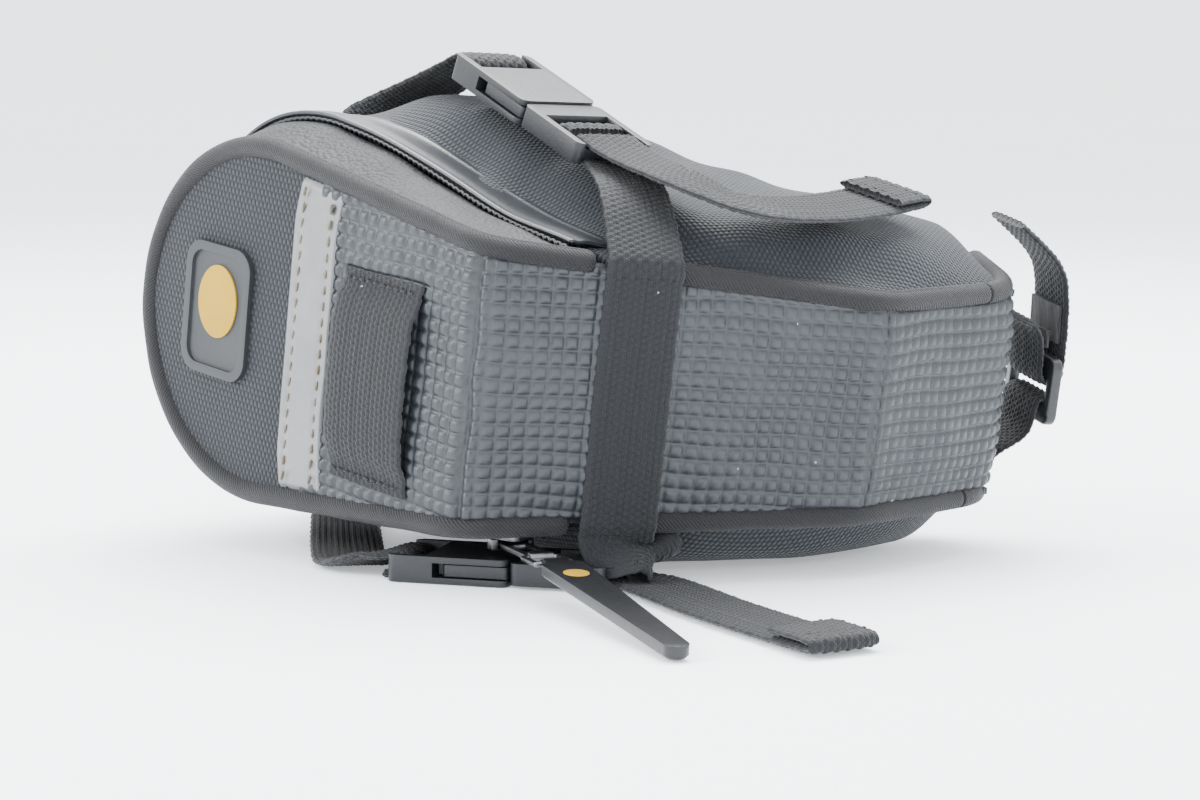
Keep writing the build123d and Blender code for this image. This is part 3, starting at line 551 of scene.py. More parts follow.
def stitches(name, starts, ends, normal, material, body, thick=0.32):
    """A row of thread stitches: one flattened bead of thread from each start to its end."""
    starts, ends = np.asarray(starts, float), np.asarray(ends, float)
    run = ends - starts
    n = np.broadcast_to(np.asarray(normal, float), run.shape)
    side = np.cross(run, n)
    side /= np.linalg.norm(side, axis=1, keepdims=True)
    t = np.linspace(0, 1, 6)
    girth = thick * np.sqrt(np.clip(1 - (2 * t - 1) ** 4, 0.02, 1))
    angle = np.linspace(0, 2 * pi, 6, endpoint=False)
    points = starts[:, None, None] + run[:, None, None] * t[None, :, None, None] \
        + (side[:, None, None] * np.cos(angle)[None, None, :, None]
           + n[:, None, None] * np.sin(angle)[None, None, :, None]) * girth[None, :, None, None]
    body_faces = grid_faces(6, 6, wrap=True, flip=True)
    ends_faces = np.array([[0, 1, 2, 3], [0, 3, 4, 5], [33, 32, 31, 30], [35, 34, 33, 30]])
    one = np.concatenate([body_faces, ends_faces])
    faces = (one[None] + 36 * np.arange(len(starts))[:, None, None]).reshape(-1, 4)
    return mesh_piece(name, points.reshape(-1, 3), faces, material, body)


# ---------------------------------------------------------------- strip of grip vinyl, cloth and boards
cell = 3.0


def rounded_plan(corners, radii, spacing):
    """An open outline with arcs at its inner corners, evenly resampled, and its arc lengths."""
    corners = [np.array(c, float) for c in corners]
    out = [corners[0]]
    for k in range(1, len(corners) - 1):
        before, at, after = corners[k - 1], corners[k], corners[k + 1]
        a = (before - at) / np.linalg.norm(before - at)
        b = (after - at) / np.linalg.norm(after - at)
        half = np.arccos(np.clip(a @ b, -1, 1)) / 2
        reach = radii[k - 1] / tan(half)
        centre = at + (a + b) / np.linalg.norm(a + b) * radii[k - 1] / sin(half)
        first, last = at + a * reach, at + b * reach
        t = np.linspace(0, 1, 14)[:, None]
        mid = first * (1 - t) + last * t
        arc = centre + (mid - centre) / np.linalg.norm(mid - centre, axis=1, keepdims=True) * radii[k - 1]
        out.extend(arc)
    out.append(corners[-1])
    return resample(np.array(out), spacing)


strip_plan, strip_s = rounded_plan([arch_top, seam_1, seam_2, nose, saddle_front], [7.0, 5.0, 9.0], 0.05)


def place_on_strip(point):
    """Arc length along the strip of the spot nearest to a plan point."""
    return float(strip_s[np.argmin(np.linalg.norm(strip_plan - np.array(point), axis=1))])


s_logo = 57.5
s_seam_1 = place_on_strip(seam_1)
s_fold = place_on_strip(fold)
s_seam_2 = place_on_strip(seam_2)
s_front = float(strip_s[-1])


def strip_grid(s0, s1, spacing, inset=0.9, columns=None):
    """Grid over the strip between two arc lengths, and each point's s, z and distance to the long edge."""
    s = np.linspace(s0, s1, int((s1 - s0) / spacing) + 1)
    plan = np.stack([np.interp(s, strip_s, strip_plan[:, k]) for k in (0, 1)], 1)
    width = half_width(run_depth(plan)[0]) - inset
    width = np.maximum(width, 0.4)
    t = np.linspace(-1, 1, columns or int(2 * width.max() / spacing))
    z = width[:, None] * t[None]
    grid = np.concatenate([np.broadcast_to(plan[:, None], (*z.shape, 2)), z[..., None]], -1)
    return grid, np.broadcast_to(s[:, None], z.shape), z, width[:, None] - np.abs(z)


def vinyl_strip(name, s0, s1, seams=(), crown=0.9, spacing=0.33):
    """Grip vinyl: rows of pillowed square cells on a slightly crowned strip.

    A cell's height is the product of two rounded profiles; at each seam it fades into a
    narrow groove, and at the long edges the sheet dips in under the piping."""
    grid, s, z, edge = strip_grid(s0, s1, spacing)
    crowned = crown * step(edge / 10) * step(np.minimum(s - s_logo, s_front - s) / 8 + 0.2)
    crowned = crowned + 0.4 * wander(s, z, 36, 3)
    u = s + 0.35 * wander(s, z, 30, 8)
    v = z + 0.35 * wander(s, z, 33, 5)
    tone = np.sin(np.floor(u / cell) * 12.9 + np.floor(v / cell) * 78.2) * 43758.5
    uneven = 0.8 + 0.4 * (tone - np.floor(tone))
    cells = pillow(u, cell) * pillow(v, cell) * uneven
    fade = step((edge - 0.6) / 1.5)
    for seam in seams:
        wobble = 0.25 * wander(z, z * 0, 22, 4)
        fade = fade * step(np.abs(s - seam - wobble) / 0.9)
        crowned = crowned - 0.6 * np.exp(-((s - seam - wobble) / 0.55) ** 2)
    relief = crowned + 0.75 * cells * fade - 1.0 * step(1 - edge / 2.2)
    return slab(name, grid, 1.4, grip_vinyl, None, np.stack([s, z], -1), relief)


def cloth_strip(name, grid, s, z, edge, material, body, crown, puff=0.3, seed=2):
    """A plain woven panel, gently crowned and a little uneven."""
    relief = crown * step(edge / 14) + puff * wander(s, z, 40, seed) - 0.9 * step(1 - edge / 2.4)
    return slab(name, grid, 1.4, material, body, np.stack([s, z], -1), relief)


vinyl_rear = vinyl_strip("rear_grip", s_logo, s_fold + 3.0, seams=(s_seam_1,))
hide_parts("rear_grip_panel", "corner_grip_panel")
belly_dir = np.array([cos(radians(belly_angle)), sin(radians(belly_angle)), 0.0])
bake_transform(vinyl_rear)
vinyl_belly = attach(vinyl_strip("belly_grip", s_fold + 3.0, s_seam_2), "bag")
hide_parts("belly_panel")
vinyl_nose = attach(vinyl_strip("nose_grip", s_seam_2, s_front, seams=(s_seam_2 + 0.4,)), "bag")
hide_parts("nose_panel")
logo = cloth_strip("rear_cloth_panel", *strip_grid(0.3, s_logo, 0.6, columns=140), rear_cloth, "lid", 0.35,
                   0.15)
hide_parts("logo_panel")

back_plan = np.array([saddle_front, saddle_rear])
back_line, back_s = resample(back_plan, 0.8)
back_width = np.maximum(half_width(run_depth(back_line)[0]) - 0.6, 0.4)
t = np.linspace(-1, 1, 110)
back_z = back_width[:, None] * t[None]
back_grid = np.concatenate([np.broadcast_to(back_line[:, None], (*back_z.shape, 2)), back_z[..., None]], -1)
back = cloth_strip("saddle_side_panel", back_grid, np.broadcast_to(back_s[:, None], back_z.shape), back_z,
                   back_width[:, None] - np.abs(back_z), side_cloth, "bag", 2.0, puff=0.5)
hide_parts("saddle_panel")


# ---------------------------------------------------------------- bands that go round the arch
touch = pi / 2 + taper
nose_run = float(run_depth(nose)[0])
zip_fall = (float(run_depth(fold)[1]) - zip_setback) / float(run_depth(fold)[0])
belly_rise = float(run_depth(fold)[1]) / (float(run_depth(fold)[0]) - rear_length)
front_run, front_depth = (float(v) for v in run_depth(saddle_front))
nose_depth = float(run_depth(nose)[1])


def zip_depth(run):
    """Depth of the zip line at a run."""
    return zip_setback + zip_fall * run


def belly_depth(run):
    """Depth of the belly line, 0 before seam 1."""
    return np.clip((run - rear_length) * belly_rise, 0, None)


def saddle_depth(run):
    """Depth of the saddle panel, then of the nose wall."""
    saddle = rear_depth + (front_depth - rear_depth) * run / front_run
    wall = front_depth + (nose_depth - front_depth) * (run - front_run) / (nose_run - front_run)
    return np.where(run < front_run, saddle, wall)


def u_length(run):
    """Distance along the U from the top of the arch to a run on its straight part."""
    return arch_radius * touch + (run - tangent_run) / cos(taper)


def u_curve(q):
    """Run, z and outward normal of a spot on the arch-and-taper line, q mm from the top of the arch."""
    side, q = np.sign(q) + (q == 0), np.abs(q)
    angle = np.clip(q / arch_radius, 0, touch)
    extra = np.clip(q - arch_radius * touch, 0, None)
    run = arch_radius - arch_radius * np.cos(angle) + extra * cos(taper)
    z = arch_radius * np.sin(angle) - extra * sin(taper)
    return run, z * side, -np.cos(angle), np.sin(angle) * side


def upper_swell(run, depth, q):
    """Outward swell of the upper side round the zip: 5 mm times three smooth steps, in depth, q and run."""
    return 5.0 * step(depth / 18) * step(q / 50) * step((100 - run) / 50)


def u_band(name, run_end, near, distant, outset, thickness, material, body, relief=None, step_q=0.8,
           step_d=0.8):
    """A band over the U between two depth lines; outset and relief are taken along its outward normal."""
    reach = u_length(run_end)
    q = np.linspace(-reach, reach, int(2 * reach / step_q))
    run, z, nr, nz = u_curve(q)
    low_d, high_d = near(run), distant(run)
    v = np.linspace(0, 1, max(int(np.max(high_d - low_d) / step_d), 3))
    depth = low_d[:, None] + (high_d - low_d)[:, None] * v[None]
    run2, q2 = np.broadcast_to(run[:, None], depth.shape), np.broadcast_to(q[:, None], depth.shape)
    lift = outset + upper_swell(run2, depth,
                                q2) + (relief(run2, depth, q2, v[None]) if relief else 0) + 0 * depth
    run3 = run2 + nr[:, None] * lift
    z3 = z[:, None] + nz[:, None] * lift
    plan = top + run3[..., None] * rear_run + depth[..., None] * inward
    grid = np.concatenate([plan, z3[..., None]], -1)
    return slab(name, grid, thickness, material, body, np.stack([q2, depth], -1))


def side_relief(run, depth, q, v):
    """Puffed side panels: a dome over the flat part, flat underneath where the bag lies on it."""
    plan = top + run[..., None] * rear_run + depth[..., None] * inward
    belly_far = -(plan[..., 0] * outward[0] + plan[..., 1] * outward[1])
    zip_far = depth - zip_depth(run) - 9.0
    saddle_far = (saddle_depth(run) - depth) * 0.83
    dome = step(belly_far / 20) * step((nose_run - run) / 20) * step(saddle_far / 20) * step(zip_far / 18) \
        * step((run - 24) / 34)
    lower = q < 0
    full = np.where(lower, lower_bulge * 1.35, upper_bulge * 1.25) * dome
    cap = np.where(lower, lower_bulge - 0.35, upper_bulge + 1.0)
    soft = cap * np.tanh(full / cap * 1.15)
    edge = np.minimum(np.minimum(belly_far, nose_run - run), saddle_far)
    folds = 0.5 * wander(run, depth, 26, 6) * step(edge / 8) * np.where(lower, 0.2, 1.0)
    return soft + folds + 0.7 * step(edge / 6) * np.where(lower, 0.3, 1) - 0.5


side = u_band("side_cloth_panels", nose_run - 0.4,
              lambda r: np.maximum(zip_depth(r) + 3.0, belly_depth(r) + 0.6),
              lambda r: saddle_depth(r) - 0.3, 0.0, 1.4, side_cloth, "bag", side_relief, 0.9, 0.9)
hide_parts("side_panel_upper", "side_panel_lower")


def band_relief(run, depth, q, v):
    """A shallow crown between piping and zip, with soft unevenness."""
    return 0.9 * np.sin(pi * np.clip(v, 0, 1)) ** 0.7 + 0.35 * wander(q, depth, 30, 9) - 0.2


band = u_band("pebbled_gusset", 116.0, lambda r: np.minimum(belly_depth(r) + 0.6, zip_depth(r) - 3.2),
              lambda r: zip_depth(r) - 2.2, 0.0, 1.2, band_coat, "lid", band_relief, 0.8, 0.8)
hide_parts("gusset_band")


def flap_relief(run, depth, q, v):
    """Flap: stands over the teeth at its free edge, lies down towards its sewn edge, a bead along each."""
    over = 1.9 - 1.1 * step((v - 0.25) / 0.5)
    bead = 0.35 * np.exp(-((v - 0.05) / 0.05) ** 2) + 0.3 * np.exp(-((v - 0.86) / 0.04) ** 2)
    return over + bead + 0.25 * wander(q, depth, 24, 12)


flap = u_band("zip_cover", 113.0, lambda r: zip_depth(r) - 2.9, lambda r: zip_depth(r) + 12.4, 0.0, 1.0,
              flap_rubber, "bag", flap_relief, 0.7, 0.4)
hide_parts("zip_flap")


def tooth_relief(run, depth, q, v):
    """Coil teeth: a ridge every 1.6 mm."""
    return 0.55 * np.abs(np.sin(pi * q / 1.6)) * np.sin(pi * np.clip(v, 0, 1)) ** 0.5 - 0.5


for label, sign, body in (("lid", -1, "lid"), ("main", 1, "bag")):
    lo, hi = (0.3, 2.6) if sign > 0 else (-2.6, -0.3)
    teeth = u_band(f"zip_teeth_row_{label}", 112.0, lambda r: zip_depth(r) + lo,
                   lambda r: zip_depth(r) + hi, 1.3,
                   1.3, tooth_plastic, body, tooth_relief, 0.4, 0.45)
    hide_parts(f"zip_teeth_{label}")


# ---------------------------------------------------------------- piping
def edge_point(corner, side, inset=piping_inset):
    """A plan corner on the edge between strip and side panel, moved in."""
    run = run_depth(corner)[0]
    return np.array([corner[0], corner[1], side * (float(half_width(run)) - inset / cos(taper))])


def rounded_edge(points, radii, spacing=0.5):
    """A 3-D polyline with its corners cut smooth."""
    out = [points[0]]
    for k in range(1, len(points) - 1):
        a, c, b = points[k - 1], points[k], points[k + 1]
        ra = c + (a - c) / np.linalg.norm(a - c) * radii[k - 1]
        rb = c + (b - c) / np.linalg.norm(b - c) * radii[k - 1]
        t = np.linspace(0, 1, 9)[:, None]
        out.extend((1 - t) ** 2 * ra + 2 * t * (1 - t) * c + t ** 2 * rb)
    out.append(points[-1])
    return resample(np.array(out), spacing)[0]


pipe_in = [np.array(c) + np.array(d) * piping_inset for c, d in
           ((seam_1, (0.2, 1.0)), (seam_2, (-0.63, 0.9)), (nose, (-1.1, 0.2)), (saddle_front, (-0.6, -1.1)))]
arch_in = arch_radius - piping_inset
arc_q = np.linspace(-touch, touch, 90)
arc_run = arch_radius - arch_in * np.cos(arc_q)
arc = np.concatenate([top + inward * piping_inset + arc_run[:, None] * rear_run,
                      (arch_in * np.sin(arc_q))[:, None]], 1)
fold_in = np.array(fold) + np.array([-outward[0], -outward[1]]) * piping_inset
lid_stop = fold_in - belly_dir[:2] * 0.4
arm = {side: rounded_edge([arc[0] if side < 0 else arc[-1], edge_point(pipe_in[0], side),
                           edge_point(lid_stop, side)],
                          [6.0]) for side in (1, -1)}
lid_path = np.concatenate([arm[-1][::-1][:-1], arc, arm[1][1:]])
pipe = tube_piece("lid_piping_cover", lid_path, 2.35, piping_cloth, "lid")
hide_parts("piping_lid")
for label, side in (("upper", 1), ("lower", -1)):
    corners = [edge_point(fold_in + belly_dir[:2] * 1.6, side)] + [edge_point(c, side) for c in pipe_in[1:]]
    pipe = tube_piece(f"front_piping_cover_{label}", rounded_edge(corners, [6.0, 10.0]), 2.35, piping_cloth,
                      "bag")
    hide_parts(f"piping_{label}")


# ---------------------------------------------------------------- straps: routes as in the CAD
lift = webbing_thickness / 2
buckle_height, male_length, female_length, bar, bar_height = 5.6, 21.0, 26.0, 3.0, 2.2
strap_clear, buckle_raise, release_travel = 0.3, 2.0, 16.0
upper_end, upper_angle, upper_tilt = (17.6, 41.0), 138.0, 8.0
lower_end, lower_angle = (31.0, 15.0), 172.0
upper_height = upper_bulge + strap_clear + buckle_raise + buckle_height / 2
lower_height = -lower_bulge + buckle_height / 2
wrap = bar_height / 2 + 0.05 + lift
slot = (male_length - 4 * bar) / 2
behind = 2 * bar + slot + 0.05 + lift
upper_buckle = (upper_end, upper_angle, upper_height, upper_tilt)
lower_buckle = (lower_end, lower_angle, lower_height, 0.0)
edge_height = float(half_width(run_depth(strap_root)[0]))
strap_top = edge_height - 5.0


def off_belly(distance, height):
    """A point on the belly strap's line, outside the belly, at a height across the bag."""
    return np.array([strap_root[0] + outward[0] * distance, strap_root[1] + outward[1] * distance, height])


def to_side(point, side):
    """A bag-frame point in a side panel's frame."""
    return turn(np.asarray(point, float) - [0, 0, side * seam_half_width], -side * taper)


def in_buckle(buckle, distance, off):
    """A point a distance along a buckle from the male half's end bar, off its middle plane."""
    end, angle, height, tilt = buckle
    reach = distance * cos(radians(tilt)) - off * sin(radians(tilt))
    return (*along(end, reach, angle), height + distance * sin(radians(tilt)) + off * cos(radians(tilt)))


def flat_across(first, second):
    """The flat direction square to a run."""
    run = np.array([second[0] - first[0], second[1] - first[1]])
    run = run / np.linalg.norm(run)
    return np.array([-run[1], run[0], 0.0])


def ways(points, given):
    """One width direction per point: the given one where there is one, else square to the run."""
    out = []
    for k, _ in enumerate(points):
        a, b = points[max(k - 1, 0)], points[min(k + 1, len(points) - 1)]
        way = given[k] if k < len(given) and given[k] is not None else flat_across(a, b)
        if out and way @ out[-1] < 0:
            way = -way
        out.append(way)
    return np.array(out)


upper_way = flat_across(upper_end, along(upper_end, 1.0, upper_angle))
lower_way = flat_across(lower_end, along(lower_end, 1.0, lower_angle))
belly_up = turn(belly_dir, -taper)
belly_low = turn(belly_dir, taper)

belly_route = [off_belly(1.2, -edge_height - 2.2), off_belly(2.6, -edge_height + 0.5),
               off_belly(2.2, -strap_top),
               off_belly(1.9, -14), off_belly(1.7, 0), off_belly(1.9, 14), off_belly(2.2, strap_top),
               off_belly(2.7, edge_height - 0.5), off_belly(2.5, edge_height + 1.0)]
belly = strap("belly_webbing", belly_route, belly_dir, webbing, web_cloth, "bag", fray=0.35, seed=3)
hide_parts("belly_strap")

upper_wrap = [in_buckle(upper_buckle, -3.0, -wrap),
              in_buckle(upper_buckle, behind, -wrap),
              in_buckle(upper_buckle, behind, wrap),
              in_buckle(upper_buckle, bar + slot, wrap)]
over = [strap_root[k] + 0.44 * (upper_end[k] - strap_root[k]) for k in (0, 1)]
riser = [to_side(off_belly(2.6, edge_height - 2.0), 1), to_side(off_belly(2.8, edge_height + 1.0), 1),
         to_side(off_belly(-0.5, edge_height + 3.6), 1), (*over, upper_height - wrap - 1.0)] + upper_wrap
up_way = -upper_way if upper_way @ belly_up < 0 else upper_way
riser_ways = ways(riser,
                  [belly_up, belly_up, belly_up, (belly_up + up_way) / 2, up_way, up_way, up_way, up_way])
piece = strap("rail_webbing_upper", on_side(np.array(riser), 1), turn(riser_ways, taper), webbing - 0.4,
              web_cloth,
              None, seed=5)
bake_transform(piece)
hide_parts("rail_riser_upper")

lower_wrap = [in_buckle(lower_buckle, -3.0, wrap),
              in_buckle(lower_buckle, behind, wrap),
              in_buckle(lower_buckle, behind, 0.1 - wrap),
              in_buckle(lower_buckle, bar + slot, 0.1 - wrap)]
low_riser = [to_side(off_belly(1.4, -edge_height - 0.5), -1), to_side(off_belly(1.4, -edge_height - 3.0), -1),
             (lower_end[0] + 9.0, lower_end[1] - 1.5, lower_height + wrap + 1.6)] + lower_wrap
low_way = lower_way if lower_way @ belly_low > 0 else -lower_way
low_ways = ways(low_riser,
                [belly_low, belly_low, (belly_low + 1.5 * low_way), low_way, low_way, low_way, low_way])
piece = strap("rail_webbing_lower", on_side(np.array(low_riser), -1), turn(low_ways, -taper), webbing - 0.4,
              web_cloth, None, seed=6)
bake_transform(piece)
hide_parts("rail_riser_lower")


def loose_end(name, points, side, body, nodes, seed):
    """Loose end of a rail strap, its last stretch folded over and sewn down with two rows of stitches."""
    points = np.array(points, float)
    last = points[-1] - points[-2]
    last /= np.linalg.norm(last)
    fold_back = [points[-1] + last * 0.6 + [0, 0, 0.9], points[-1] + [0, 0, 1.9],
                 points[-1] - last * 12.0 + [0, 0, 1.9]]
    route = np.concatenate([points, fold_back])
    wide = ways(points, [])
    wide = np.concatenate([wide, np.repeat(wide[-1:], 3, 0)])
    piece = strap(name, on_side(route, side), turn(wide, side * taper), webbing, web_cloth, body, seed=seed)
    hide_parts(*nodes)
    across_last = wide[-1]
    rows = []
    for place in (-3.0, -9.5):
        t = np.arange(-6.0, 6.1, 2.0)
        rows.append(points[-1] + last * place + across_last * t[:, None] + [0, 0, 2.5])
    starts = np.concatenate(rows)
    stitches(name + "_stitches", on_side(starts, side), on_side(starts + across_last * 1.5, side),
             turn(np.array([0, 0, 1.0]), side * taper), dark_thread, body, 0.3)
    return piece


tail_height = upper_bulge + strap_clear + lift + release_travel * sin(radians(upper_tilt))
loose_end("tail_webbing_upper",
          [in_buckle(upper_buckle, bar + slot / 2 - 0.4, wrap),
           in_buckle(upper_buckle, -4.0, wrap - 0.3),
           (upper_end[0] + 16.0, upper_end[1] - 14.0, tail_height + 3.2),
           (upper_end[0] + 30.0, upper_end[1] - 16.0, tail_height + 0.6),
           (upper_end[0] + 46.0, upper_end[1] + 2.0, tail_height + 0.4),
           (upper_end[0] + 59.0, upper_end[1] + 26.0, tail_height + 1.4)], 1, "male_upper",
           ["rail_tail_upper"], 7)
ground = -lower_bulge + lift + 0.45
loose_end("tail_webbing_lower",
          [in_buckle(lower_buckle, bar + slot / 2 - 0.4, ground - lower_height),
           in_buckle(lower_buckle, -5.0, ground - lower_height),
           (lower_end[0] + 14.0, lower_end[1] - 14.0, ground),
           (lower_end[0] + 24.0, lower_end[1] - 30.0, ground),
           (lower_end[0] + 48.0, lower_end[1] - 60.0, ground)], -1, "male_lower", ["rail_tail_lower"], 8)

# anchors: from the female half's bar to the saddle panel
slope = degrees(atan2(saddle_front[1] - saddle_rear[1], saddle_front[0] - saddle_rear[0]))
saddle_way = np.array([cos(radians(slope)), sin(radians(slope)), 0.0])
female_bar = male_length + female_length - bar - 0.05 - lift
root = along(along(saddle_rear, 14.0, slope), lift + 0.05, slope + 90)
root_out = along(root, 0.9, slope + 90)


def round_bar(buckle):
    """Webbing round the female half's bar."""
    return [in_buckle(buckle, female_bar + 5.5, -wrap), in_buckle(buckle, female_bar, -wrap),
            in_buckle(buckle, female_bar, wrap), in_buckle(buckle, female_bar + 5.5, wrap)]


exit_rise = 4.5   # how far the anchor stands over the buckle where it leaves for the saddle panel
up_exit = along(upper_end, female_bar + 10.5, upper_angle)
anchor = [on_side(np.array(p), 1) for p in round_bar(upper_buckle)
          + [(*up_exit, upper_height + exit_rise)]]
anchor += [turn(np.array([root_out[0], root_out[1] + 2.0, -4.0]), taper) + [0, 0, seam_half_width]]
z_over = float(anchor[-1][2])
anchor += [np.array([*root_out, z_over - 5.0]), np.array([*root_out, z_over - 26.0])]
anchor_ways = [turn(upper_way, taper)] * 5 + [saddle_way if upper_way @ saddle_way > 0 else -saddle_way] * 3
piece = strap("anchor_webbing_upper", anchor, anchor_ways, webbing, web_cloth, "bag", seed=9)
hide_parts("rail_anchor_upper")
low_exit = along(lower_end, female_bar + 14.5, lower_angle)
low_turn = (low_exit[0] - 4.0, low_exit[1] + 10.0)
anchor = [on_side(np.array(p), -1) for p in round_bar(lower_buckle)
          + [(*low_exit, ground), (*low_turn, ground)]]
under = turn(np.array([root_out[0], root_out[1] + 0.4, ground]), -taper) - [0, 0, seam_half_width]
anchor += [under, np.array([*root_out, under[2] + 26.0]), np.array([*root_out, under[2] + 40.0])]
way_under = flat_across(low_turn, root)
hold = lower_way
way_under = way_under if way_under @ hold > 0 else -way_under
saddle_hold = saddle_way if saddle_way @ way_under > 0 else -saddle_way
anchor_ways = [turn(hold, -taper)] * 4 + [turn(way_under, -taper)] * 2 + [saddle_hold] * 3
piece = strap("anchor_webbing_lower", anchor, anchor_ways, webbing, web_cloth, "bag", seed=10)
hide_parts("rail_anchor_lower")

# seatpost strap on the nose wall
wall_middle = along(nose, nose_wall * 0.56, nose_wall_angle)
wall_out = nose_wall_angle - 90
wall_way = np.array([cos(radians(nose_wall_angle)), sin(radians(nose_wall_angle)), 0.0])
wall_height = float(half_width(run_depth(wall_middle)[0]))


def off_wall(distance, height):
    """A point outside the nose wall, at a height across the bag."""
    return np.array([*along(wall_middle, distance, wall_out), height])


for name, node, body, route in (
        ("post_webbing_long", "post_strap_long", "bag",
         [(1.0, wall_height - 4), (1.8, wall_height - 8), (4.5, 15.5), (9.0, 14.0), (10.8, 9.0), (10.8, 1.5),
          (15.4, 1.5)]),
        ("post_webbing_short", "post_strap_short", "bag",
         [(1.0, 5 - wall_height), (2.4, -15.0), (10.6, -10.5), (10.8, -1.9), (14.6, -1.9)]),
        ("post_webbing_end", "post_strap_end", "post_end",
         [(15.9, 3.0), (15.9, 10.0), (15.2, 20.0), (13.0, 28.0), (2.0, 36.0)])):
    piece = strap(name, [off_wall(*p) for p in route], wall_way, 18.0, web_cloth, body, seed=len(name))
    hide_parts(node)

# tail-light loop on the rear face
rear_way = np.array([rear_run[0], rear_run[1], 0.0])


def on_rear(run, z, height):
    """A point over the rear face."""
    plan = top + rear_run * run - inward * height
    return np.array([plan[0], plan[1], z])


loop_run, loop_mid, loop_half = 79.5, -4.0, 22.0
loop_route = [(loop_half, 1.4), (loop_half - 3.5, 1.6), (loop_half - 7.0, 3.6), (loop_half - 12.0, 4.1),
              (0, 4.4),
              (-loop_half + 12.0, 4.1), (-loop_half + 7.0, 3.6), (-loop_half + 3.5, 1.6), (-loop_half, 1.4)]
piece = strap("light_loop_webbing", [on_rear(loop_run, loop_mid + z, h) for z, h in loop_route], rear_way,
              24.0,
              web_cloth, "lid", thickness=1.7, seed=14)
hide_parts("light_loop")
out_normal = np.array([-inward[0], -inward[1], 0.0])
for k, z in enumerate((loop_mid + loop_half - 1.8, loop_mid - loop_half + 1.8)):
    runs = np.arange(loop_run - 10.5, loop_run + 9.6, 2.1)
    starts = np.array([on_rear(r, z, 2.55) for r in runs])
    stitches(f"loop_stitches_{k}", starts, starts + rear_way * 1.6, out_normal, dark_thread, "lid", 0.3)

# reflective tape with two sewn rows
runs = np.linspace(51.0, 64.0, 40)
width = half_width(runs) - 1.6
t = np.linspace(-1, 1, 150)
zz = width[:, None] * t[None]
rr = np.broadcast_to(runs[:, None], zz.shape)
plan = top + rr[..., None] * rear_run
grid = np.concatenate([plan, zz[..., None]], -1)
crown = 1.35 * step((width[:, None] - np.abs(zz)) / 12) + 0.7 + 0.12 * wander(rr, zz, 20, 21)
dimple = 0.0
for place in (53.0, 61.8):
    dimple = dimple + 0.35 * np.exp(-((rr - place) / 0.7) ** 2) * (0.6 + 0.4 * np.sin(2 * pi * zz / 3.4))
ends_lift = 1.9 * step((3.0 - (width[:, None] - np.abs(zz))) / 3.0)
tape = slab("reflective_tape_strip", grid, 0.5, reflector, "lid", np.stack([rr, zz], -1),
            crown - dimple - ends_lift)
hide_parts("reflective_tape")
for k, place in enumerate((53.0, 61.8)):
    limit = float(half_width(place)) - 5.0
    z = np.arange(-limit, limit, 3.4)
    starts = np.array([on_rear(place, a, 1.85) for a in z])
    ends = np.array([on_rear(place + 0.35, a + 2.3, 1.85) for a in z])
    stitches(f"tape_stitches_{k}", starts, ends, out_normal, tan_thread, "lid", 0.34)


# ---------------------------------------------------------------- hard trim from the CAD, with softened edges
def softened(node, width, material, body, suffix="_soft", angle=30):
    """A copy of a CAD node's mesh with its edges rounded over."""
    source = frame["nodes"][node]
    mesh = source.data.copy()
    mesh.materials.clear()
    mesh.materials.append(material)
    piece = bpy.data.objects.new(node + suffix, mesh)
    bpy.context.scene.collection.objects.link(piece)
    weld = piece.modifiers.new("weld", "WELD")
    weld.merge_threshold = 1e-6
    bevel = piece.modifiers.new("bevel", "BEVEL")
    bevel.width = width * MM
    bevel.segments = 3
    bevel.limit_method = "ANGLE"
    bevel.angle_limit = radians(angle)
    bevel.harden_normals = False
    mesh.polygons.foreach_set("use_smooth", np.ones(len(mesh.polygons), bool))
    mesh.set_sharp_from_angle(angle=radians(40))
    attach(piece, body)
    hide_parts(node)
    return piece


body_of = {n: b for b, nodes in frame["record"]["behaviour"]["bodies"].items() for n in nodes}
trim = {"buckle_female_upper": (0.55, buckle_plastic), "buckle_male_upper": (0.45, buckle_plastic),
        "buckle_female_lower": (0.55, buckle_plastic), "buckle_male_lower": (0.45, buckle_plastic),
        "buckle_prong_upper_a": (0.3, buckle_plastic), "buckle_prong_upper_b": (0.3, buckle_plastic),
        "buckle_prong_lower_a": (0.3, buckle_plastic), "buckle_prong_lower_b": (0.3, buckle_plastic),
        "post_ring": (0.5, buckle_plastic), "zip_slider": (0.25, gun_metal), "pull_tab": (0.2, gun_metal),
        "pull_ring": (0.1, gun_metal), "zip_puller": (0.4, puller_rubber),
        "puller_badge": (0.08, mark_rubber),
        "badge_base": (0.45, badge_rubber), "badge_inlay": (0.15, mark_rubber)}
for node, (width, material) in trim.items():
    softened(node, width, material, body_of[node])
kept = {"zip_tape_lid": tape_cloth, "zip_tape_main": tape_cloth, "rear_board": board_plastic,
        "belly_board": board_plastic, "post_hook_patch": hook_cloth, "post_loop_patch": hook_cloth}
for node, material in kept.items():
    source = frame["nodes"][node]
    source.data.materials.clear()
    source.data.materials.append(material)
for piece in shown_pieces():
    if not piece.name.endswith("_soft") and piece.type == "MESH" and piece.data.uv_layers.get("UVMap") is None \
            and "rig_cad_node" in piece:
        piece.data.uv_layers.new(name="UVMap")

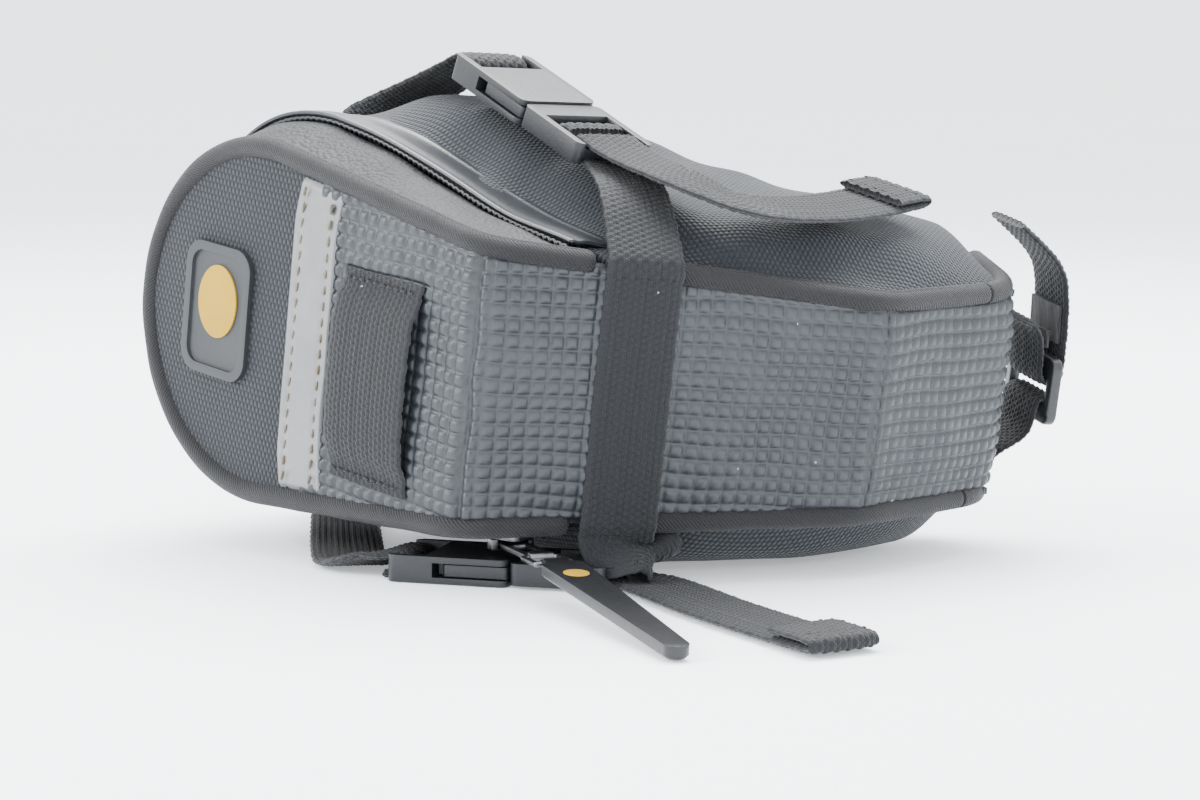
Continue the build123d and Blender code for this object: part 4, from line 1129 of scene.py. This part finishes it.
# ---------------------------------------------------------------- floor, light and camera
floor_mat, floor_tree, floor_shader = nodes_of("floor_paper", (0.86, 0.88, 0.9), 0.85, spec=0.2)
floor_shader.inputs["Emission Color"].default_value = (0.93, 0.965, 1.0, 1)
floor_shader.inputs["Emission Strength"].default_value = 0.4
floor_vector = coords(floor_tree, False)
floor_tone = noise(floor_tree, floor_vector, 3.0, 3)
finish_material(floor_tree, floor_shader,
                ramp(floor_tree, floor_tone, (0.84, 0.865, 0.89), (0.88, 0.9, 0.92)), None,
                noise(floor_tree, floor_vector, 900, 2), 0.00002)
floor_mesh = bpy.data.meshes.new("floor")
floor_mesh.from_pydata([(-9, -9, -0.0001), (9, -9, -0.0001), (9, 9, -0.0001), (-9, 9, -0.0001)], [],
                       [(0, 1, 2, 3)])
floor_mesh.materials.append(floor_mat)
floor = bpy.data.objects.new("floor", floor_mesh)
bpy.context.scene.collection.objects.link(floor)

world = bpy.data.worlds.new("studio")
world.use_nodes = True
world.node_tree.nodes["Background"].inputs[0].default_value = (0.93, 0.965, 1.0, 1)
world.node_tree.nodes["Background"].inputs[1].default_value = 3.1
bpy.context.scene.world = world


def softbox(name, place, aim, size, power):
    """A square area light aimed at a point."""
    light = bpy.data.lights.new(name, "AREA")
    light.shape = "SQUARE"
    light.size = size
    light.energy = power
    obj = bpy.data.objects.new(name, light)
    obj.location = place
    obj.rotation_mode = "QUATERNION"
    obj.rotation_quaternion = (Vector(aim) - Vector(place)).to_track_quat("-Z", "Y")
    bpy.context.scene.collection.objects.link(obj)


softbox("top_light", (0.05, 0.35, 0.9), (0, 0, 0.03), 0.8, 34.0)
softbox("left_light", (-0.8, -0.35, 0.5), (0, 0, 0.04), 0.4, 14.0)
softbox("front_light", (0.5, -0.9, 0.45), (0, 0, 0.04), 0.6, 4.0)

yaw, tip, roll = radians(6.5), radians(12.13), radians(6.02)
target = np.array([25.7, 0.0, 0.7])
back_dir = np.array([0.0, -cos(tip), sin(tip)])
up_dir = np.array([0.0, sin(tip), cos(tip)])
right_dir = np.array([1.0, 0.0, 0.0])


def to_plan(vector):
    """Camera-aligned plan directions, taken to the bag's frame."""
    return np.array([vector[0] * cos(yaw) - vector[1] * sin(yaw),
                     vector[0] * sin(yaw) + vector[1] * cos(yaw), vector[2]])


camera_place = row(to_plan(target + back_dir * 530.0))
right_roll = right_dir * cos(roll) + up_dir * sin(roll)
up_roll = up_dir * cos(roll) - right_dir * sin(roll)
basis = [turn(to_plan(v), taper) for v in (right_roll, up_roll, back_dir)]
camera_data = bpy.data.cameras.new("camera")
camera_data.sensor_width = 36.0
camera_data.lens = 36.0 * 2680 / 1200
camera = bpy.data.objects.new("camera", camera_data)
matrix = Matrix([[basis[c][r] for c in range(3)] + [camera_place[r]] for r in range(3)] + [[0, 0, 0, 1]])
camera.matrix_world = matrix
bpy.context.scene.collection.objects.link(camera)
bpy.context.scene.camera = camera
